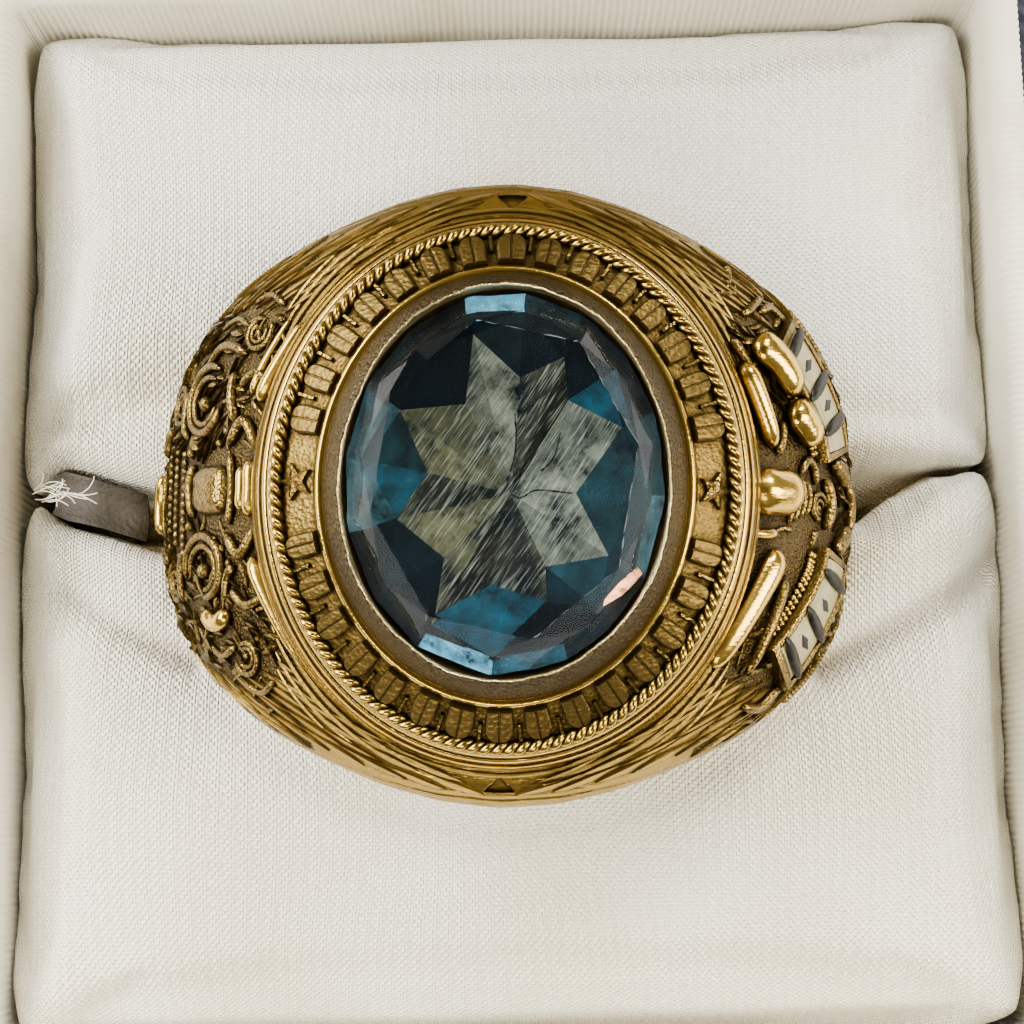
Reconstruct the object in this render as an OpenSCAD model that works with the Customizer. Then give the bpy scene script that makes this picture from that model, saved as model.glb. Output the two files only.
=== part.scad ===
// Class ring in an open ring box.
// A heavy cast gold ring with an oval faceted blue stone stands in the slot of
// a two-part cushion. A fabric collar and a hinged case hold the cushion.
// The origin is the middle of the case's underside, +Z is up, the finger goes
// through the ring along Y, and the lid is hinged at the back (+Y).
// All lengths are in millimetres.

/* [Ring hoop] */
// Inside diameter of the hoop, for a finger of about size 10
finger_d = 19.8; // [18:0.1:21.5]
// Width of the shank behind the finger
shank_w = 4.8; // [3.6:0.1:6.5]
// Thickness of the shank behind the finger
shank_t = 1.6; // [1.3:0.1:2.1]
// Metal between the finger and the rope border
head_t = 3.8; // [3.5:0.1:4.6]
// Length of the head along the finger
head_len = 20.8; // [19.8:0.1:22]

/* [Stone] */
// Length of the oval stone, along the finger
stone_len = 12; // [11.4:0.1:12.3]
// Width of the oval stone, across the finger
stone_w = 10; // [9.4:0.1:10.2]
// Height of the stone's crown, from girdle to table
crown_h = 1.4; // [1:0.1:1.8]
// Depth of the stone's pavilion, from girdle to culet
pavilion_h = 4; // [3:0.1:4.2]
// Thickness of the stone's girdle
girdle_t = 0.3; // [0.2:0.05:0.5]
// Turn of the facets away from the stone's long axis, in degrees
facet_turn = 13; // [0:1:22]

/* [Bezel and border] */
// Height of the bezel's lip above the rope's seat
bezel_h = 2.2; // [1.9:0.1:2.6]
// Length of the rope border, along the finger
rope_len = 16.5; // [16.2:0.1:17.2]
// Width of the rope border, across the finger
rope_w = 14.6; // [14.3:0.1:15.2]
// Thickness of the rope
rope_d = 0.5; // [0.4:0.02:0.6]
// Length of one raised tongue on the border band
tongue_len = 0.9; // [0.6:0.05:1.05]
// Tongues on each half of the band, between the two stars
tongues_per_half = 12; // [8:1:13]
// Size across the points of each star
star_d = 1.7; // [1.2:0.1:2]

/* [Shoulders] */
// Length of one leaf of the edge sprays
leaf_len = 2.5; // [2:0.1:2.8]
// Height of the leaves above the gold round them
leaf_lift = 0.24; // [0.15:0.01:0.4]
// Diameter of the scrolls
scroll_d = 2.4; // [1.9:0.1:2.8]
// Thickness of the scrolls' wire
scroll_wire = 0.62; // [0.4:0.02:0.8]
// Width of the enamelled ribbons
ribbon_w = 1.9; // [1.6:0.1:2.2]
// Height of the ribbons above the gold round them
ribbon_lift = 0.5; // [0.45:0.05:0.7]
// Depth of the enamel in the ribbons
enamel_t = 0.25; // [0.2:0.05:0.3]

/* [Placing in the box] */
// Height of the hoop's centre above the table that the box stands on
ring_z = 17; // [16.4:0.1:18.5]
// Lean of the ring towards the front, in degrees
ring_lean = 6; // [0:1:8]
// Turn of the ring in its slot, away from the box's front, in degrees
ring_turn = 2.5; // [0:0.5:4]

/* [Cushion and collar] */
// Height of the cushion's top above the table
cushion_top = 19.5; // [18.5:0.1:20.2]
// Rounding of the cushion's upper edges
cushion_round = 1.4; // [0.8:0.1:2.4]
// Rise of the cushion's crown from edge to middle
cushion_crown = 0.6; // [0.3:0.1:1]
// Width of the slot between the cushions, beside the ring
slot_open = 2; // [0.8:0.1:2.6]
// Inside width of the collar
tray_w = 38; // [37:0.2:42]
// Inside depth of the collar, front to back
tray_d = 40; // [38:0.5:44]
// Thickness of the collar
collar_t = 1.4; // [1:0.1:2]
// Height of the collar's top edge above the table
collar_top = 20.6; // [20:0.1:22]

/* [Case] */
// Height of the case's rim above the table
case_h = 16; // [13:0.5:17]
// Thickness of the case's and lid's walls
case_wall = 2; // [1.6:0.1:3]
// Thickness of the case's floor and the lid's top
case_floor = 1.8; // [1.4:0.1:2.4]
// Radius of the case's upright corners
corner_r = 3.6; // [3:0.1:5]
// Height of the lid
lid_h = 22.5; // [21.5:0.5:28]
// Angle that the lid stands open, in degrees
lid_open = 100; // [90:1:110]

/* [Hinge] */
// Outside diameter of the hinge's barrel
barrel_d = 2.4; // [2:0.1:3]
// Diameter of the hinge's pin
pin_d = 1; // [0.8:0.05:1.2]
// Length of the hinge
hinge_len = 18; // [12:1:26]
// Height of each hinge leaf
leaf_h = 6; // [4:0.5:8]
// Thickness of the hinge leaves
leaf_t = 0.5; // [0.4:0.05:0.7]

/* [Clearances] */
// Gap round the stone and the enamel
set_gap = 0.06; // [0.04:0.01:0.1]
// Gap between the cushions and what they touch
soft_gap = 0.3; // [0.2:0.05:0.4]
// Gap between the collar and the case
fit_gap = 0.5; // [0.4:0.05:0.7]
// Gap between the case's rim and the closed lid
rim_gap = 0.3; // [0.2:0.05:0.5]
// Gap between the hinge's pin and the lid's barrel
pin_gap = 0.05; // [0.03:0.01:0.08]
// Gap between the lid's barrel and the case's barrels
barrel_gap = 0.25; // [0.15:0.05:0.4]

/* [Hidden] */
$fn = 48;

gold = [0.78, 0.58, 0.24];
blue = [0.16, 0.42, 0.58];
white = [0.93, 0.9, 0.8];
satin = [0.93, 0.92, 0.9];
cream = [0.9, 0.86, 0.76];
navy = [0.07, 0.08, 0.16];
brass = [0.72, 0.6, 0.32];

finger_r = finger_d / 2;
rope_z = finger_r + head_t;
lip_z = rope_z + bezel_h;
girdle_z = lip_z - 0.12 * bezel_h;
table_z = girdle_z + crown_h;
culet_z = girdle_z - girdle_t - pavilion_h;

// The hoop's shape by turn from the head's middle.
// Columns: turn in degrees, thickness share, edge share, width share.
hoop_rows = [
    [0, 0.82, 0.55, 1],
    [10, 0.83, 0.56, 0.98],
    [20, 0.86, 0.58, 0.925],
    [30, 0.9, 0.62, 0.845],
    [40, 0.95, 0.68, 0.755],
    [48, 0.97, 0.74, 0.665],
    [56, 0.95, 0.82, 0.55],
    [64, 0.9, 0.9, 0.42],
    [72, 0.8, 0.94, 0.27],
    [80, 0.56, 0.9, 0.13],
    [90, 0.28, 0.8, 0.05],
    [104, 0.1, 0.68, 0.01],
    [130, 0, 0.62, 0],
    [180, 0, 0.62, 0],
];
hoop_power = 2.6;
hoop_step = 7.5;
hoop_sides = 4;
bury = 0.35;

function hoop_share(turn, column) =
    lookup(abs(turn), [for (row = hoop_rows) [row[0], row[column]]]);
function crown_r(turn) = finger_r + shank_t + (head_t - shank_t) * hoop_share(turn, 1);
function edge_r(turn) = finger_r + shank_t * hoop_share(turn, 2);
function half_w(turn) = (shank_w + (head_len - shank_w) * hoop_share(turn, 3)) / 2;
function skin_r(turn, y) =
    edge_r(turn) + (crown_r(turn) - edge_r(turn))
    * pow(1 - pow(min(1, abs(y) / half_w(turn)), hoop_power), 1 / hoop_power);

// A point on the hoop's outside, raised by lift. Turn is positive towards +X.
function skin_at(turn, y, lift) = [
    (skin_r(turn, y) + lift) * sin(turn),
    y,
    (skin_r(turn, y) + lift) * cos(turn),
];

// The head's profile, from its buried foot over the reeds, the rope's seat and
// the band up to the bezel's lip. Columns: span share, from 0 at the stone's
// outline to 1 at the rope, and rise share of the bezel's height.
head_foot = [1.42, -2.3];
head_rows = [
    [1.45, -1],
    [1.38, -0.62],
    [1.33, -0.5],
    [1.29, -0.38],
    [1.25, -0.36],
    [1.23, -0.3],
    [1.19, -0.17],
    [1.14, -0.13],
    [1.1, -0.12],
    [1.06, -0.03],
    [0.94, -0.03],
    [0.91, 0.02],
    [0.45, 0.3],
    [0.42, 0.4],
    [0.35, 0.44],
    [0.31, 0.5],
    [0.13, 0.94],
    [0.07, 1],
];
head_sides = 40;
band_out = 0.91;
band_in = 0.45;
band_mid = (band_out + band_in) / 2;

function span_x(share) = (stone_w + (rope_w - stone_w) * share) / 2;
function span_y(share) = (stone_len + (rope_len - stone_len) * share) / 2;
function oval(rx, ry, z, sides) =
    [for (i = [0:sides - 1]) [rx * cos(360 * i / sides), ry * sin(360 * i / sides), z]];
function oval_heading(turn, rx, ry) = atan2(sin(turn) / ry, cos(turn) / rx);
function head_rise(share) = bezel_h * lookup(share, head_rows);
band_slope = atan2(
    head_rise(band_in) - head_rise(band_out),
    span_x(band_out) - span_x(band_in)
);

// Skins a list of rings of points into one closed solid.
module loft(rings, looped = false) {
    n = len(rings[0]);
    m = len(rings);
    points = [for (ring = rings) for (p = ring) p];
    sides = [
        for (j = [0:(looped ? m : m - 1) - 1]) for (i = [0:n - 1])
            let (
                a = j * n + i,
                b = j * n + (i + 1) % n,
                c = ((j + 1) % m) * n + (i + 1) % n,
                d = ((j + 1) % m) * n + i
            )
            each [[a, c, b], [a, d, c]]
    ];
    caps = looped ? [] : [
        [for (i = [0:n - 1]) i],
        [for (i = [n - 1:-1:0]) (m - 1) * n + i],
    ];
    polyhedron(points = points, faces = concat(sides, caps), convexity = 8);
}

// The ring: hoop, head, ornament

module hoop() {
    loft([
        for (turn = [0:hoop_step:359])
            let (t = turn > 180 ? turn - 360 : turn, hw = half_w(t))
            concat(
                [
                    for (k = [hoop_sides:-1:-hoop_sides])
                        let (
                            a = 90 * k / hoop_sides,
                            y = sign(k) * hw * pow(abs(sin(a)), 2 / hoop_power),
                            r = edge_r(t) + (crown_r(t) - edge_r(t))
                                * pow(max(0, cos(a)), 2 / hoop_power)
                        )
                        [r * sin(turn), y, r * cos(turn)]
                ],
                [
                    [finger_r * sin(turn), bury - hw, finger_r * cos(turn)],
                    [finger_r * sin(turn), hw - bury, finger_r * cos(turn)],
                ]
            )
    ], looped = true);
}

module head() {
    difference() {
        loft([
            for (row = concat([head_foot], head_rows))
                oval(span_x(row[0]), span_y(row[0]), rope_z + bezel_h * row[1], head_sides)
        ]);
        rotate([90, 0, 0])
            cylinder(r = finger_r + bury, h = 2 * head_len, center = true);
    }
}

// The hollow that the stone sits in, open at the top.
// Columns: share of the stone's outline, share of the pavilion's depth.
seat_rows = [
    [0.12, -1.06],
    [0.2, -1],
    [1, 0],
];
module stone_seat() {
    function around(share, z) =
        oval(share * stone_w / 2 + set_gap, share * stone_len / 2 + set_gap, z, head_sides);
    below = [
        for (row = seat_rows)
            around(row[0], girdle_z - girdle_t - set_gap + row[1] * pavilion_h)
    ];
    loft(concat(below, [around(1, girdle_z), around(table_share, table_z + set_gap)]));
}

// A two-strand rope swept round its oval
rope_twists = 18;
rope_rings = 72;
rope_sides = 5;
rope_lobe = 0.16;
module rope() {
    loft([
        for (j = [0:rope_rings - 1])
            let (
                turn = 360 * j / rope_rings,
                heading = oval_heading(turn, rope_w, rope_len)
            )
            [
                for (i = [0:rope_sides - 1])
                    let (
                        a = -360 * i / rope_sides,
                        r = rope_d / 2 * (1 + rope_lobe * cos(2 * (a + rope_twists * turn))),
                        out = r * cos(a)
                    )
                    [
                        rope_w / 2 * cos(turn) + out * cos(heading),
                        rope_len / 2 * sin(turn) + out * sin(heading),
                        rope_z + r * sin(a),
                    ]
            ]
    ], looped = true);
}

// Puts its child on the band at a turn round the head, its X pointing outwards
module on_band(turn, share = band_mid) {
    translate([
        span_x(share) * cos(turn),
        span_y(share) * sin(turn),
        rope_z + head_rise(share),
    ])
        rotate([0, 0, oval_heading(turn, span_x(share), span_y(share))])
            rotate([0, band_slope, 0])
                children();
}

tongue_lift = 0.3;
module tongue() {
    translate([0, 0, -bury])
        hull() {
            translate([-tongue_len / 2, 0, 0])
                cylinder(r = 0.26 * tongue_len, h = bury + tongue_lift, $fn = 4);
            translate([tongue_len / 4, 0, 0])
                cylinder(r = 0.34 * tongue_len, h = bury + tongue_lift, $fn = 6);
            translate([tongue_len / 6, 0, 0])
                cylinder(r = 0.14 * tongue_len, h = bury + 1.6 * tongue_lift, $fn = 4);
        }
}

module dart() {
    high = bury + 0.8 * tongue_lift;
    translate([0, 0, -bury])
        hull() {
            translate([-tongue_len / 2, 0, 0])
                cylinder(r = 0.04 * tongue_len, h = high, $fn = 4);
            translate([tongue_len / 2, 0, 0])
                cylinder(r = 0.11 * tongue_len, h = high, $fn = 4);
        }
}

module star() {
    points = [
        for (i = [0:9])
            let (r = (i % 2 == 0 ? 1 : 0.45) * star_d / 2)
            [r * cos(36 * i), r * sin(36 * i)]
    ];
    translate([0, 0, -bury])
        linear_extrude(bury + tongue_lift) polygon(points);
}

// Half of the band's angle that each star keeps free of tongues
star_free = 13;
module band_ornament() {
    pitch = (180 - 2 * star_free) / tongues_per_half;
    for (half = [0, 180])
        for (i = [0:tongues_per_half - 1]) {
            on_band(half + star_free + pitch * (i + 0.5)) tongue();
            if (i > 0)
                on_band(half + star_free + pitch * i) dart();
        }
    for (turn = [0, 180])
        on_band(turn) star();
}

// One leaf, a low roof on the hoop's skin, pointing from its stem to its tip
module leaf(turn, y, heading, size = 1) {
    long = leaf_len * size;
    across = 0.26 * long;
    function place(along, side, lift) =
        let (
            u = along * cos(heading) - side * sin(heading),
            v = along * sin(heading) + side * cos(heading)
        )
        skin_at(turn + u / skin_r(turn, y) * 180 / PI, y + v, lift);
    hull() polyhedron(
        points = [
            place(0, 0, -bury),
            place(0.5 * long, across, -bury),
            place(long, 0, -bury),
            place(0.5 * long, -across, -bury),
            place(0.25 * long, 0, leaf_lift),
            place(0.65 * long, 0, leaf_lift),
        ],
        faces = [[0, 1, 2, 3], [4, 1, 0], [4, 5, 1], [5, 2, 1], [5, 3, 2], [4, 3, 5], [4, 0, 3]]
    );
}

// Sprays of leaves along both edges, from the shoulders to the middle.
// Inset is the spray's distance from the hoop's edge, as a share of the head.
spray_turns = [9, 16, 23, 30, 37, 44];
spray_inset = 0.05;
spray_splay = 20;
module leaf_sprays() {
    for (side = [-1, 1]) for (end = [-1, 1]) for (turn = spray_turns) {
        y_mid = end * (half_w(turn) - spray_inset * head_len);
        apart = end * 0.1 * leaf_len;
        heading = side > 0 ? 180 : 0;
        splay = -side * end * spray_splay;
        leaf(side * turn, y_mid + apart, heading + splay);
        leaf(side * (turn + 3), y_mid - apart, heading - splay, 0.85);
    }
}

// Small triangular notches at both ends of the head
notch_r = 0.55;
module end_notches() {
    for (end = [-1, 1])
        translate([0, end * 0.455 * head_len, rope_z - 0.72 * bezel_h])
            rotate([end * -52, 0, 0])
                rotate([0, 0, end * -90])
                    cylinder(r = notch_r, h = 3 * notch_r, $fn = 3);
}

// Puts its child on a shoulder, its Z pointing out of the gold.
// Offset is along the finger, as a share of the head.
module on_skin(turn, offset, sink = 0) {
    y = offset * head_len;
    step = 0.005 * head_len;
    rise = (skin_r(turn, y + step) - skin_r(turn, y - step)) / (2 * step);
    rotate([0, turn, 0])
        translate([0, y, skin_r(turn, y) - sink])
            rotate([atan(rise), 0, 0])
                children();
}

// Scrolls of wire. Columns: turn, offset, size, heading of the opening.
left_scrolls = [
    [-50, 0.145, 1, 60],
    [-49, -0.135, 1, 10],
    [-61, 0.155, 0.7, -60],
    [-61, -0.145, 0.7, 120],
    [-43, 0.27, 0.6, 0],
    [-45, -0.26, 0.6, 70],
];
right_scrolls = [
    [61, 0.13, 0.6, -60],
    [61, -0.13, 0.6, 120],
    [40, 0.335, 0.5, 120],
    [38, -0.34, 0.5, -120],
];
module scrolls(rows) {
    for (row = rows)
        on_skin(row[0], row[1])
            scale(row[2]) {
                rotate([0, 0, row[3]])
                    rotate_extrude(angle = 290, $fn = 12)
                        translate([(scroll_d - scroll_wire) / 2, 0])
                            circle(d = scroll_wire, $fn = 5);
                sphere(d = 0.36 * scroll_d, $fn = 6);
            }
}

// Polished lobes, each from one place to another.
// Columns: first turn and offset, second turn and offset, thickness in wires.
left_lobes = [
    [-38, 0.03, -38, -0.04, 1.7],
    [-34, 0.1, -36, 0.07, 1.2],
    [-37.5, -0.12, -31, -0.235, 1.3],
    [-69, 0.02, -69, -0.06, 1.1],
];
right_lobes = [
    [37, 0.012, 43, 0.012, 2.6],
    [38, 0.25, 45, 0.19, 1.5],
    [44.5, 0.16, 49, 0.114, 1.5],
    [35.5, 0.183, 40.5, 0.1, 1.4],
    [40, -0.105, 32.5, -0.24, 1.5],
    [47, -0.12, 44, -0.19, 1],
    [62, 0.03, 71, 0.03, 2],
];
module lobes(rows) {
    for (row = rows) {
        d = row[4] * scroll_wire;
        hull() {
            on_skin(row[0], row[1], 0.15 * d) sphere(d = d, $fn = 7);
            on_skin(row[2], row[3], 0.15 * d) sphere(d = d, $fn = 7);
        }
    }
}

// The left shoulder's small shield and the bank of beads beside it
bead_turns = [-56, -60.5, -65];
bead_offsets = [-0.1, -0.055, -0.01, 0.035];
module shield_and_beads() {
    hull() {
        on_skin(-44, 0, scroll_wire / 2) cylinder(d = 2.6 * scroll_wire, h = scroll_wire, $fn = 8);
        on_skin(-50, 0, scroll_wire / 2) cylinder(d = 2 * scroll_wire, h = scroll_wire, $fn = 8);
        on_skin(-53, 0, scroll_wire / 2) cylinder(d = scroll_wire, h = scroll_wire, $fn = 6);
    }
    for (turn = bead_turns) for (offset = bead_offsets)
        on_skin(turn, offset, 0.1 * scroll_wire) sphere(d = scroll_wire, $fn = 6);
}

// A ribbon lying on the right shoulder, between two lifts above the skin.
// Columns: turn in degrees, offset along the finger as a share of the head.
ribbon_rows = [
    [43.5, 0.274],
    [47.5, 0.231],
    [51, 0.183],
    [54, 0.135],
    [55.5, 0.085],
];
ribbon_rim = 0.22;
// Beyond this share of the half width a ribbon stays level, off the hoop's edge
ribbon_reach = 0.8;
module ribbon(end, width, low, high, trim = 0) {
    last = len(ribbon_rows) - 1;
    loft([
        for (i = [0:last])
            let (
                row = ribbon_rows[i],
                near = ribbon_rows[min(last, i + 1)],
                far = ribbon_rows[max(0, i - 1)],
                per_turn = crown_r(row[0]) * PI / 180,
                du = (near[0] - far[0]) * per_turn,
                dv = end * (near[1] - far[1]) * head_len,
                size = norm([du, dv]),
                pull = (i == 0 ? 1 : i == last ? -1 : 0) * trim / size,
                turn = row[0] + pull * du / per_turn,
                y = end * row[1] * head_len + pull * dv,
                side_turn = -dv / size * width / 2 / per_turn,
                side_y = du / size * width / 2
            )
            [
                ribbon_at(turn - side_turn, y - side_y, low),
                ribbon_at(turn + side_turn, y + side_y, low),
                ribbon_at(turn + side_turn, y + side_y, high),
                ribbon_at(turn - side_turn, y - side_y, high),
            ]
    ]);
}
function ribbon_at(turn, y, lift) =
    let (r = skin_r(turn, min(abs(y), ribbon_reach * half_w(turn))) + lift)
    [r * sin(turn), y, r * cos(turn)];

module ribbons() {
    for (end = [-1, 1])
        difference() {
            ribbon(end, ribbon_w, -1.2, ribbon_lift);
            ribbon(
                end, ribbon_w - 2 * ribbon_rim,
                ribbon_lift - enamel_t - set_gap, ribbon_lift + bury, ribbon_rim
            );
        }
}

module enamel(end) {
    ribbon(
        end, ribbon_w - 2 * (ribbon_rim + set_gap),
        ribbon_lift - enamel_t, ribbon_lift, ribbon_rim + set_gap
    );
}

// Stands its child, made round the hoop's centre, in the cushion's slot
module standing() {
    translate([0, 0, ring_z])
        rotate([ring_lean, 0, -ring_turn])
            children();
}

module ring_body() {
    color(gold)
        standing()
            difference() {
                union() {
                    hoop();
                    head();
                    rope();
                    band_ornament();
                    leaf_sprays();
                    scrolls(left_scrolls);
                    scrolls(right_scrolls);
                    lobes(left_lobes);
                    lobes(right_lobes);
                    shield_and_beads();
                    ribbons();
                }
                stone_seat();
                end_notches();
            }
}

// The stone: an oval brilliant with a table, crown facets and pavilion facets
facets = 8;
table_share = 0.82;
star_share = 0.9;
star_rise = 0.62;
notch_share = 0.48;
notch_drop = 0.5;

function stone_at(share, turn, z) =
    [share * stone_w / 2 * cos(turn), share * stone_len / 2 * sin(turn), z];

module stone() {
    step = 360 / facets;
    start = 90 + facet_turn;
    points = concat(
        [for (i = [0:facets - 1]) stone_at(table_share, start + i * step, table_z)],
        [
            for (i = [0:facets - 1])
                stone_at(star_share, start + (i + 0.5) * step, girdle_z + (1 - star_rise) * crown_h)
        ],
        [for (j = [0:2 * facets - 1]) stone_at(1, start + j * step / 2, girdle_z)],
        [for (j = [0:2 * facets - 1]) stone_at(1, start + j * step / 2, girdle_z - girdle_t)],
        [
            for (i = [0:facets - 1])
                stone_at(
                    notch_share, start + (i + 0.5) * step,
                    girdle_z - girdle_t - notch_drop * pavilion_h
                )
        ],
        [[0, 0, culet_z]]
    );
    table_0 = 0;
    star_0 = facets;
    top_0 = 2 * facets;
    low_0 = 4 * facets;
    notch_0 = 6 * facets;
    culet = 7 * facets;
    function after(i) = (i + 1) % facets;
    function next(j) = (j + 1) % (2 * facets);
    faces = concat(
        [[for (i = [facets - 1:-1:0]) table_0 + i]],
        [for (i = [0:facets - 1]) [table_0 + i, table_0 + after(i), star_0 + i]],
        [for (i = [0:facets - 1]) [table_0 + after(i), top_0 + 2 * after(i), star_0 + i]],
        [for (i = [0:facets - 1]) [table_0 + i, star_0 + i, top_0 + 2 * i]],
        [for (i = [0:facets - 1]) [star_0 + i, top_0 + 2 * i + 1, top_0 + 2 * i]],
        [for (i = [0:facets - 1]) [star_0 + i, top_0 + 2 * after(i), top_0 + 2 * i + 1]],
        [for (j = [0:2 * facets - 1]) [top_0 + j, top_0 + next(j), low_0 + next(j)]],
        [for (j = [0:2 * facets - 1]) [top_0 + j, low_0 + next(j), low_0 + j]],
        [for (i = [0:facets - 1]) [notch_0 + i, low_0 + 2 * i, low_0 + 2 * i + 1]],
        [for (i = [0:facets - 1]) [notch_0 + i, low_0 + 2 * i + 1, low_0 + 2 * after(i)]],
        [for (i = [0:facets - 1]) [culet, low_0 + 2 * i, notch_0 + i]],
        [for (i = [0:facets - 1]) [culet, notch_0 + i, low_0 + 2 * after(i)]]
    );
    color(blue)
        standing()
            polyhedron(points = points, faces = faces, convexity = 2);
}

module upper_enamel() {
    color(white) standing() enamel(1);
}

module lower_enamel() {
    color(white) standing() enamel(-1);
}

// The box

module plan(w, d, r) {
    square([w - 2 * r, d], center = true);
    square([w, d - 2 * r], center = true);
    for (x = [-1, 1]) for (y = [-1, 1])
        translate([x * (w / 2 - r), y * (d / 2 - r)]) circle(r);
}

case_w = tray_w + 2 * (collar_t + fit_gap + case_wall);
case_d = tray_d + 2 * (collar_t + fit_gap + case_wall);
seat_z = case_floor + soft_gap;
// Corners inside the case, outside the collar and inside it
case_in_r = corner_r - case_wall;
collar_out_r = case_in_r;
collar_in_r = collar_out_r / 2;

// The side of a cushion half: depth along X, height along Y of this outline
module cushion_side(depth, high) {
    bow = (depth * depth / 4 + cushion_crown * cushion_crown) / (2 * cushion_crown);
    intersection() {
        union() {
            square([depth, high - cushion_round]);
            translate([cushion_round, 0]) square([depth - 2 * cushion_round, high]);
            for (x = [cushion_round, depth - cushion_round])
                translate([x, high - cushion_round]) circle(cushion_round);
        }
        translate([depth / 2, high - bow]) circle(bow, $fn = 96);
    }
}

// The room that the ring takes in the cushions
room_turns = [54, 64, 72, 80, 90, 104, 120, 140, 160, 180];
room_lift = 0.5;
module ring_room() {
    turns = concat(room_turns, [for (i = [len(room_turns) - 2:-1:0]) 360 - room_turns[i]]);
    loft([
        for (turn = turns)
            let (
                t = turn > 180 ? 360 - turn : turn,
                low = finger_r - soft_gap,
                high = crown_r(t) + soft_gap + (t < 90 ? room_lift : 0),
                w = half_w(t) + soft_gap
            )
            [
                [low * sin(turn), -w, low * cos(turn)],
                [low * sin(turn), w, low * cos(turn)],
                [high * sin(turn), w, high * cos(turn)],
                [high * sin(turn), -w, high * cos(turn)],
            ]
    ]);
}

// The slot's mouth on both sides of the ring, narrowing towards the collar.
// Columns: share of the way out from the ring, share of the slot's width.
mouth_deep = 7;
left_mouth = [[0, 1], [0.75, 1], [1, 0.2]];
right_mouth = [[0, 1], [0.45, 0.9], [0.75, 0.15]];
module slot_mouth() {
    near = finger_r + shank_t;
    way = tray_w / 2 - near;
    translate([0, 0, cushion_top - mouth_deep])
        linear_extrude(2 * mouth_deep)
            for (side = [-1, 1]) {
                rows = side < 0 ? left_mouth : right_mouth;
                far = len(rows) - 1;
                polygon([
                    for (i = [0:far])
                        [side * (near + rows[i][0] * way), rows[i][1] * slot_open / 2],
                    for (i = [far:-1:0])
                        [side * (near + rows[i][0] * way), -rows[i][1] * slot_open / 2],
                ]);
            }
}

module cushion_half() {
    w = tray_w - 2 * soft_gap;
    d = (tray_d - 3 * soft_gap) / 2;
    high = cushion_top - seat_z;
    color(satin)
        difference() {
            intersection() {
                translate([-w / 2, soft_gap / 2, seat_z])
                    rotate([90, 0, 90])
                        linear_extrude(w) cushion_side(d, high);
                translate([-w / 2, tray_d / 2, seat_z])
                    rotate([90, 0, 0])
                        linear_extrude(tray_d) cushion_side(w, high);
            }
            children();
        }
}

module back_cushion() {
    cushion_half() {
        standing() ring_room();
        slot_mouth();
    }
}

module front_cushion() {
    rotate([0, 0, 180])
        cushion_half() {
            rotate([0, 0, 180]) {
                standing() ring_room();
                slot_mouth();
            }
        }
}

module collar() {
    color(cream)
        translate([0, 0, seat_z])
            linear_extrude(collar_top - seat_z)
                difference() {
                    plan(tray_w + 2 * collar_t, tray_d + 2 * collar_t, collar_out_r);
                    plan(tray_w, tray_d, collar_in_r);
                }
}

module shell(high) {
    difference() {
        linear_extrude(high) plan(case_w, case_d, corner_r);
        translate([0, 0, case_floor])
            linear_extrude(high)
                plan(case_w - 2 * case_wall, case_d - 2 * case_wall, case_in_r);
    }
}

module case_tray() {
    color(navy) shell(case_h);
}

// The hinge's axis runs along X behind the back wall, level with the rim
barrel_r = barrel_d / 2;
hinge_y = case_d / 2 + set_gap + barrel_r;
hinge_z = case_h + rim_gap / 2;
knuckle_half = hinge_len / 6;

// Swings its child, made in the closed place, to the open place
module opened() {
    translate([0, hinge_y, hinge_z])
        rotate([-lid_open, 0, 0])
            translate([0, -hinge_y, -hinge_z])
                children();
}

module lid_shell() {
    color(navy)
        opened()
            translate([0, 0, case_h + rim_gap + lid_h])
                mirror([0, 0, 1])
                    shell(lid_h);
}

// A leaf against the back wall above (up = 1) or below (up = -1) the axis
module leaf_plate(up, w) {
    low = up > 0 ? barrel_r + barrel_gap : -leaf_h;
    translate([-w / 2, case_d / 2 + set_gap, hinge_z + low])
        cube([w, leaf_t, leaf_h - barrel_r - barrel_gap]);
}

// A barrel from one X to another, tied to its leaf and bored for the pin
module barrel(from, to, up, bore_r) {
    difference() {
        union() {
            translate([from, hinge_y, hinge_z])
                rotate([0, 90, 0]) cylinder(r = barrel_r, h = to - from);
            translate([
                from, case_d / 2 + set_gap,
                up > 0 ? hinge_z : hinge_z - barrel_r - 2 * barrel_gap,
            ])
                cube([to - from, leaf_t, barrel_r + 2 * barrel_gap]);
        }
        translate([from - 1, hinge_y, hinge_z])
            rotate([0, 90, 0]) cylinder(r = bore_r, h = to - from + 2);
    }
}

module case_hinge() {
    color(brass) {
        leaf_plate(-1, hinge_len);
        for (side = [0, 1])
            mirror([side, 0, 0])
                barrel(knuckle_half + barrel_gap, hinge_len / 2, -1, pin_d / 2 + pin_gap);
    }
}

module lid_hinge() {
    color(brass)
        opened() {
            leaf_plate(1, hinge_len);
            barrel(-knuckle_half, knuckle_half, 1, pin_d / 2 + pin_gap);
        }
}

module hinge_pin() {
    color(brass)
        translate([-hinge_len / 2, hinge_y, hinge_z])
            rotate([0, 90, 0]) cylinder(d = pin_d, h = hinge_len);
}

ring_body();
stone();
upper_enamel();
lower_enamel();
back_cushion();
front_cushion();
collar();
case_tray();
lid_shell();
case_hinge();
lid_hinge();
hinge_pin();
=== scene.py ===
# %% [markdown]
# # A class ring standing in its box
#
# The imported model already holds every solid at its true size: a heavy cast ring
# with an oval stone, the two cushions that grip it, the collar round them and
# the hinged case. This lesson dresses those solids. It makes the fine relief,
# the cut stone and the satin, and it lights them so that worn gold looks worn.

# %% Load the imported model
import math
import random

import bmesh
import bpy
import numpy as np
from mathutils import Matrix, Vector


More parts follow.
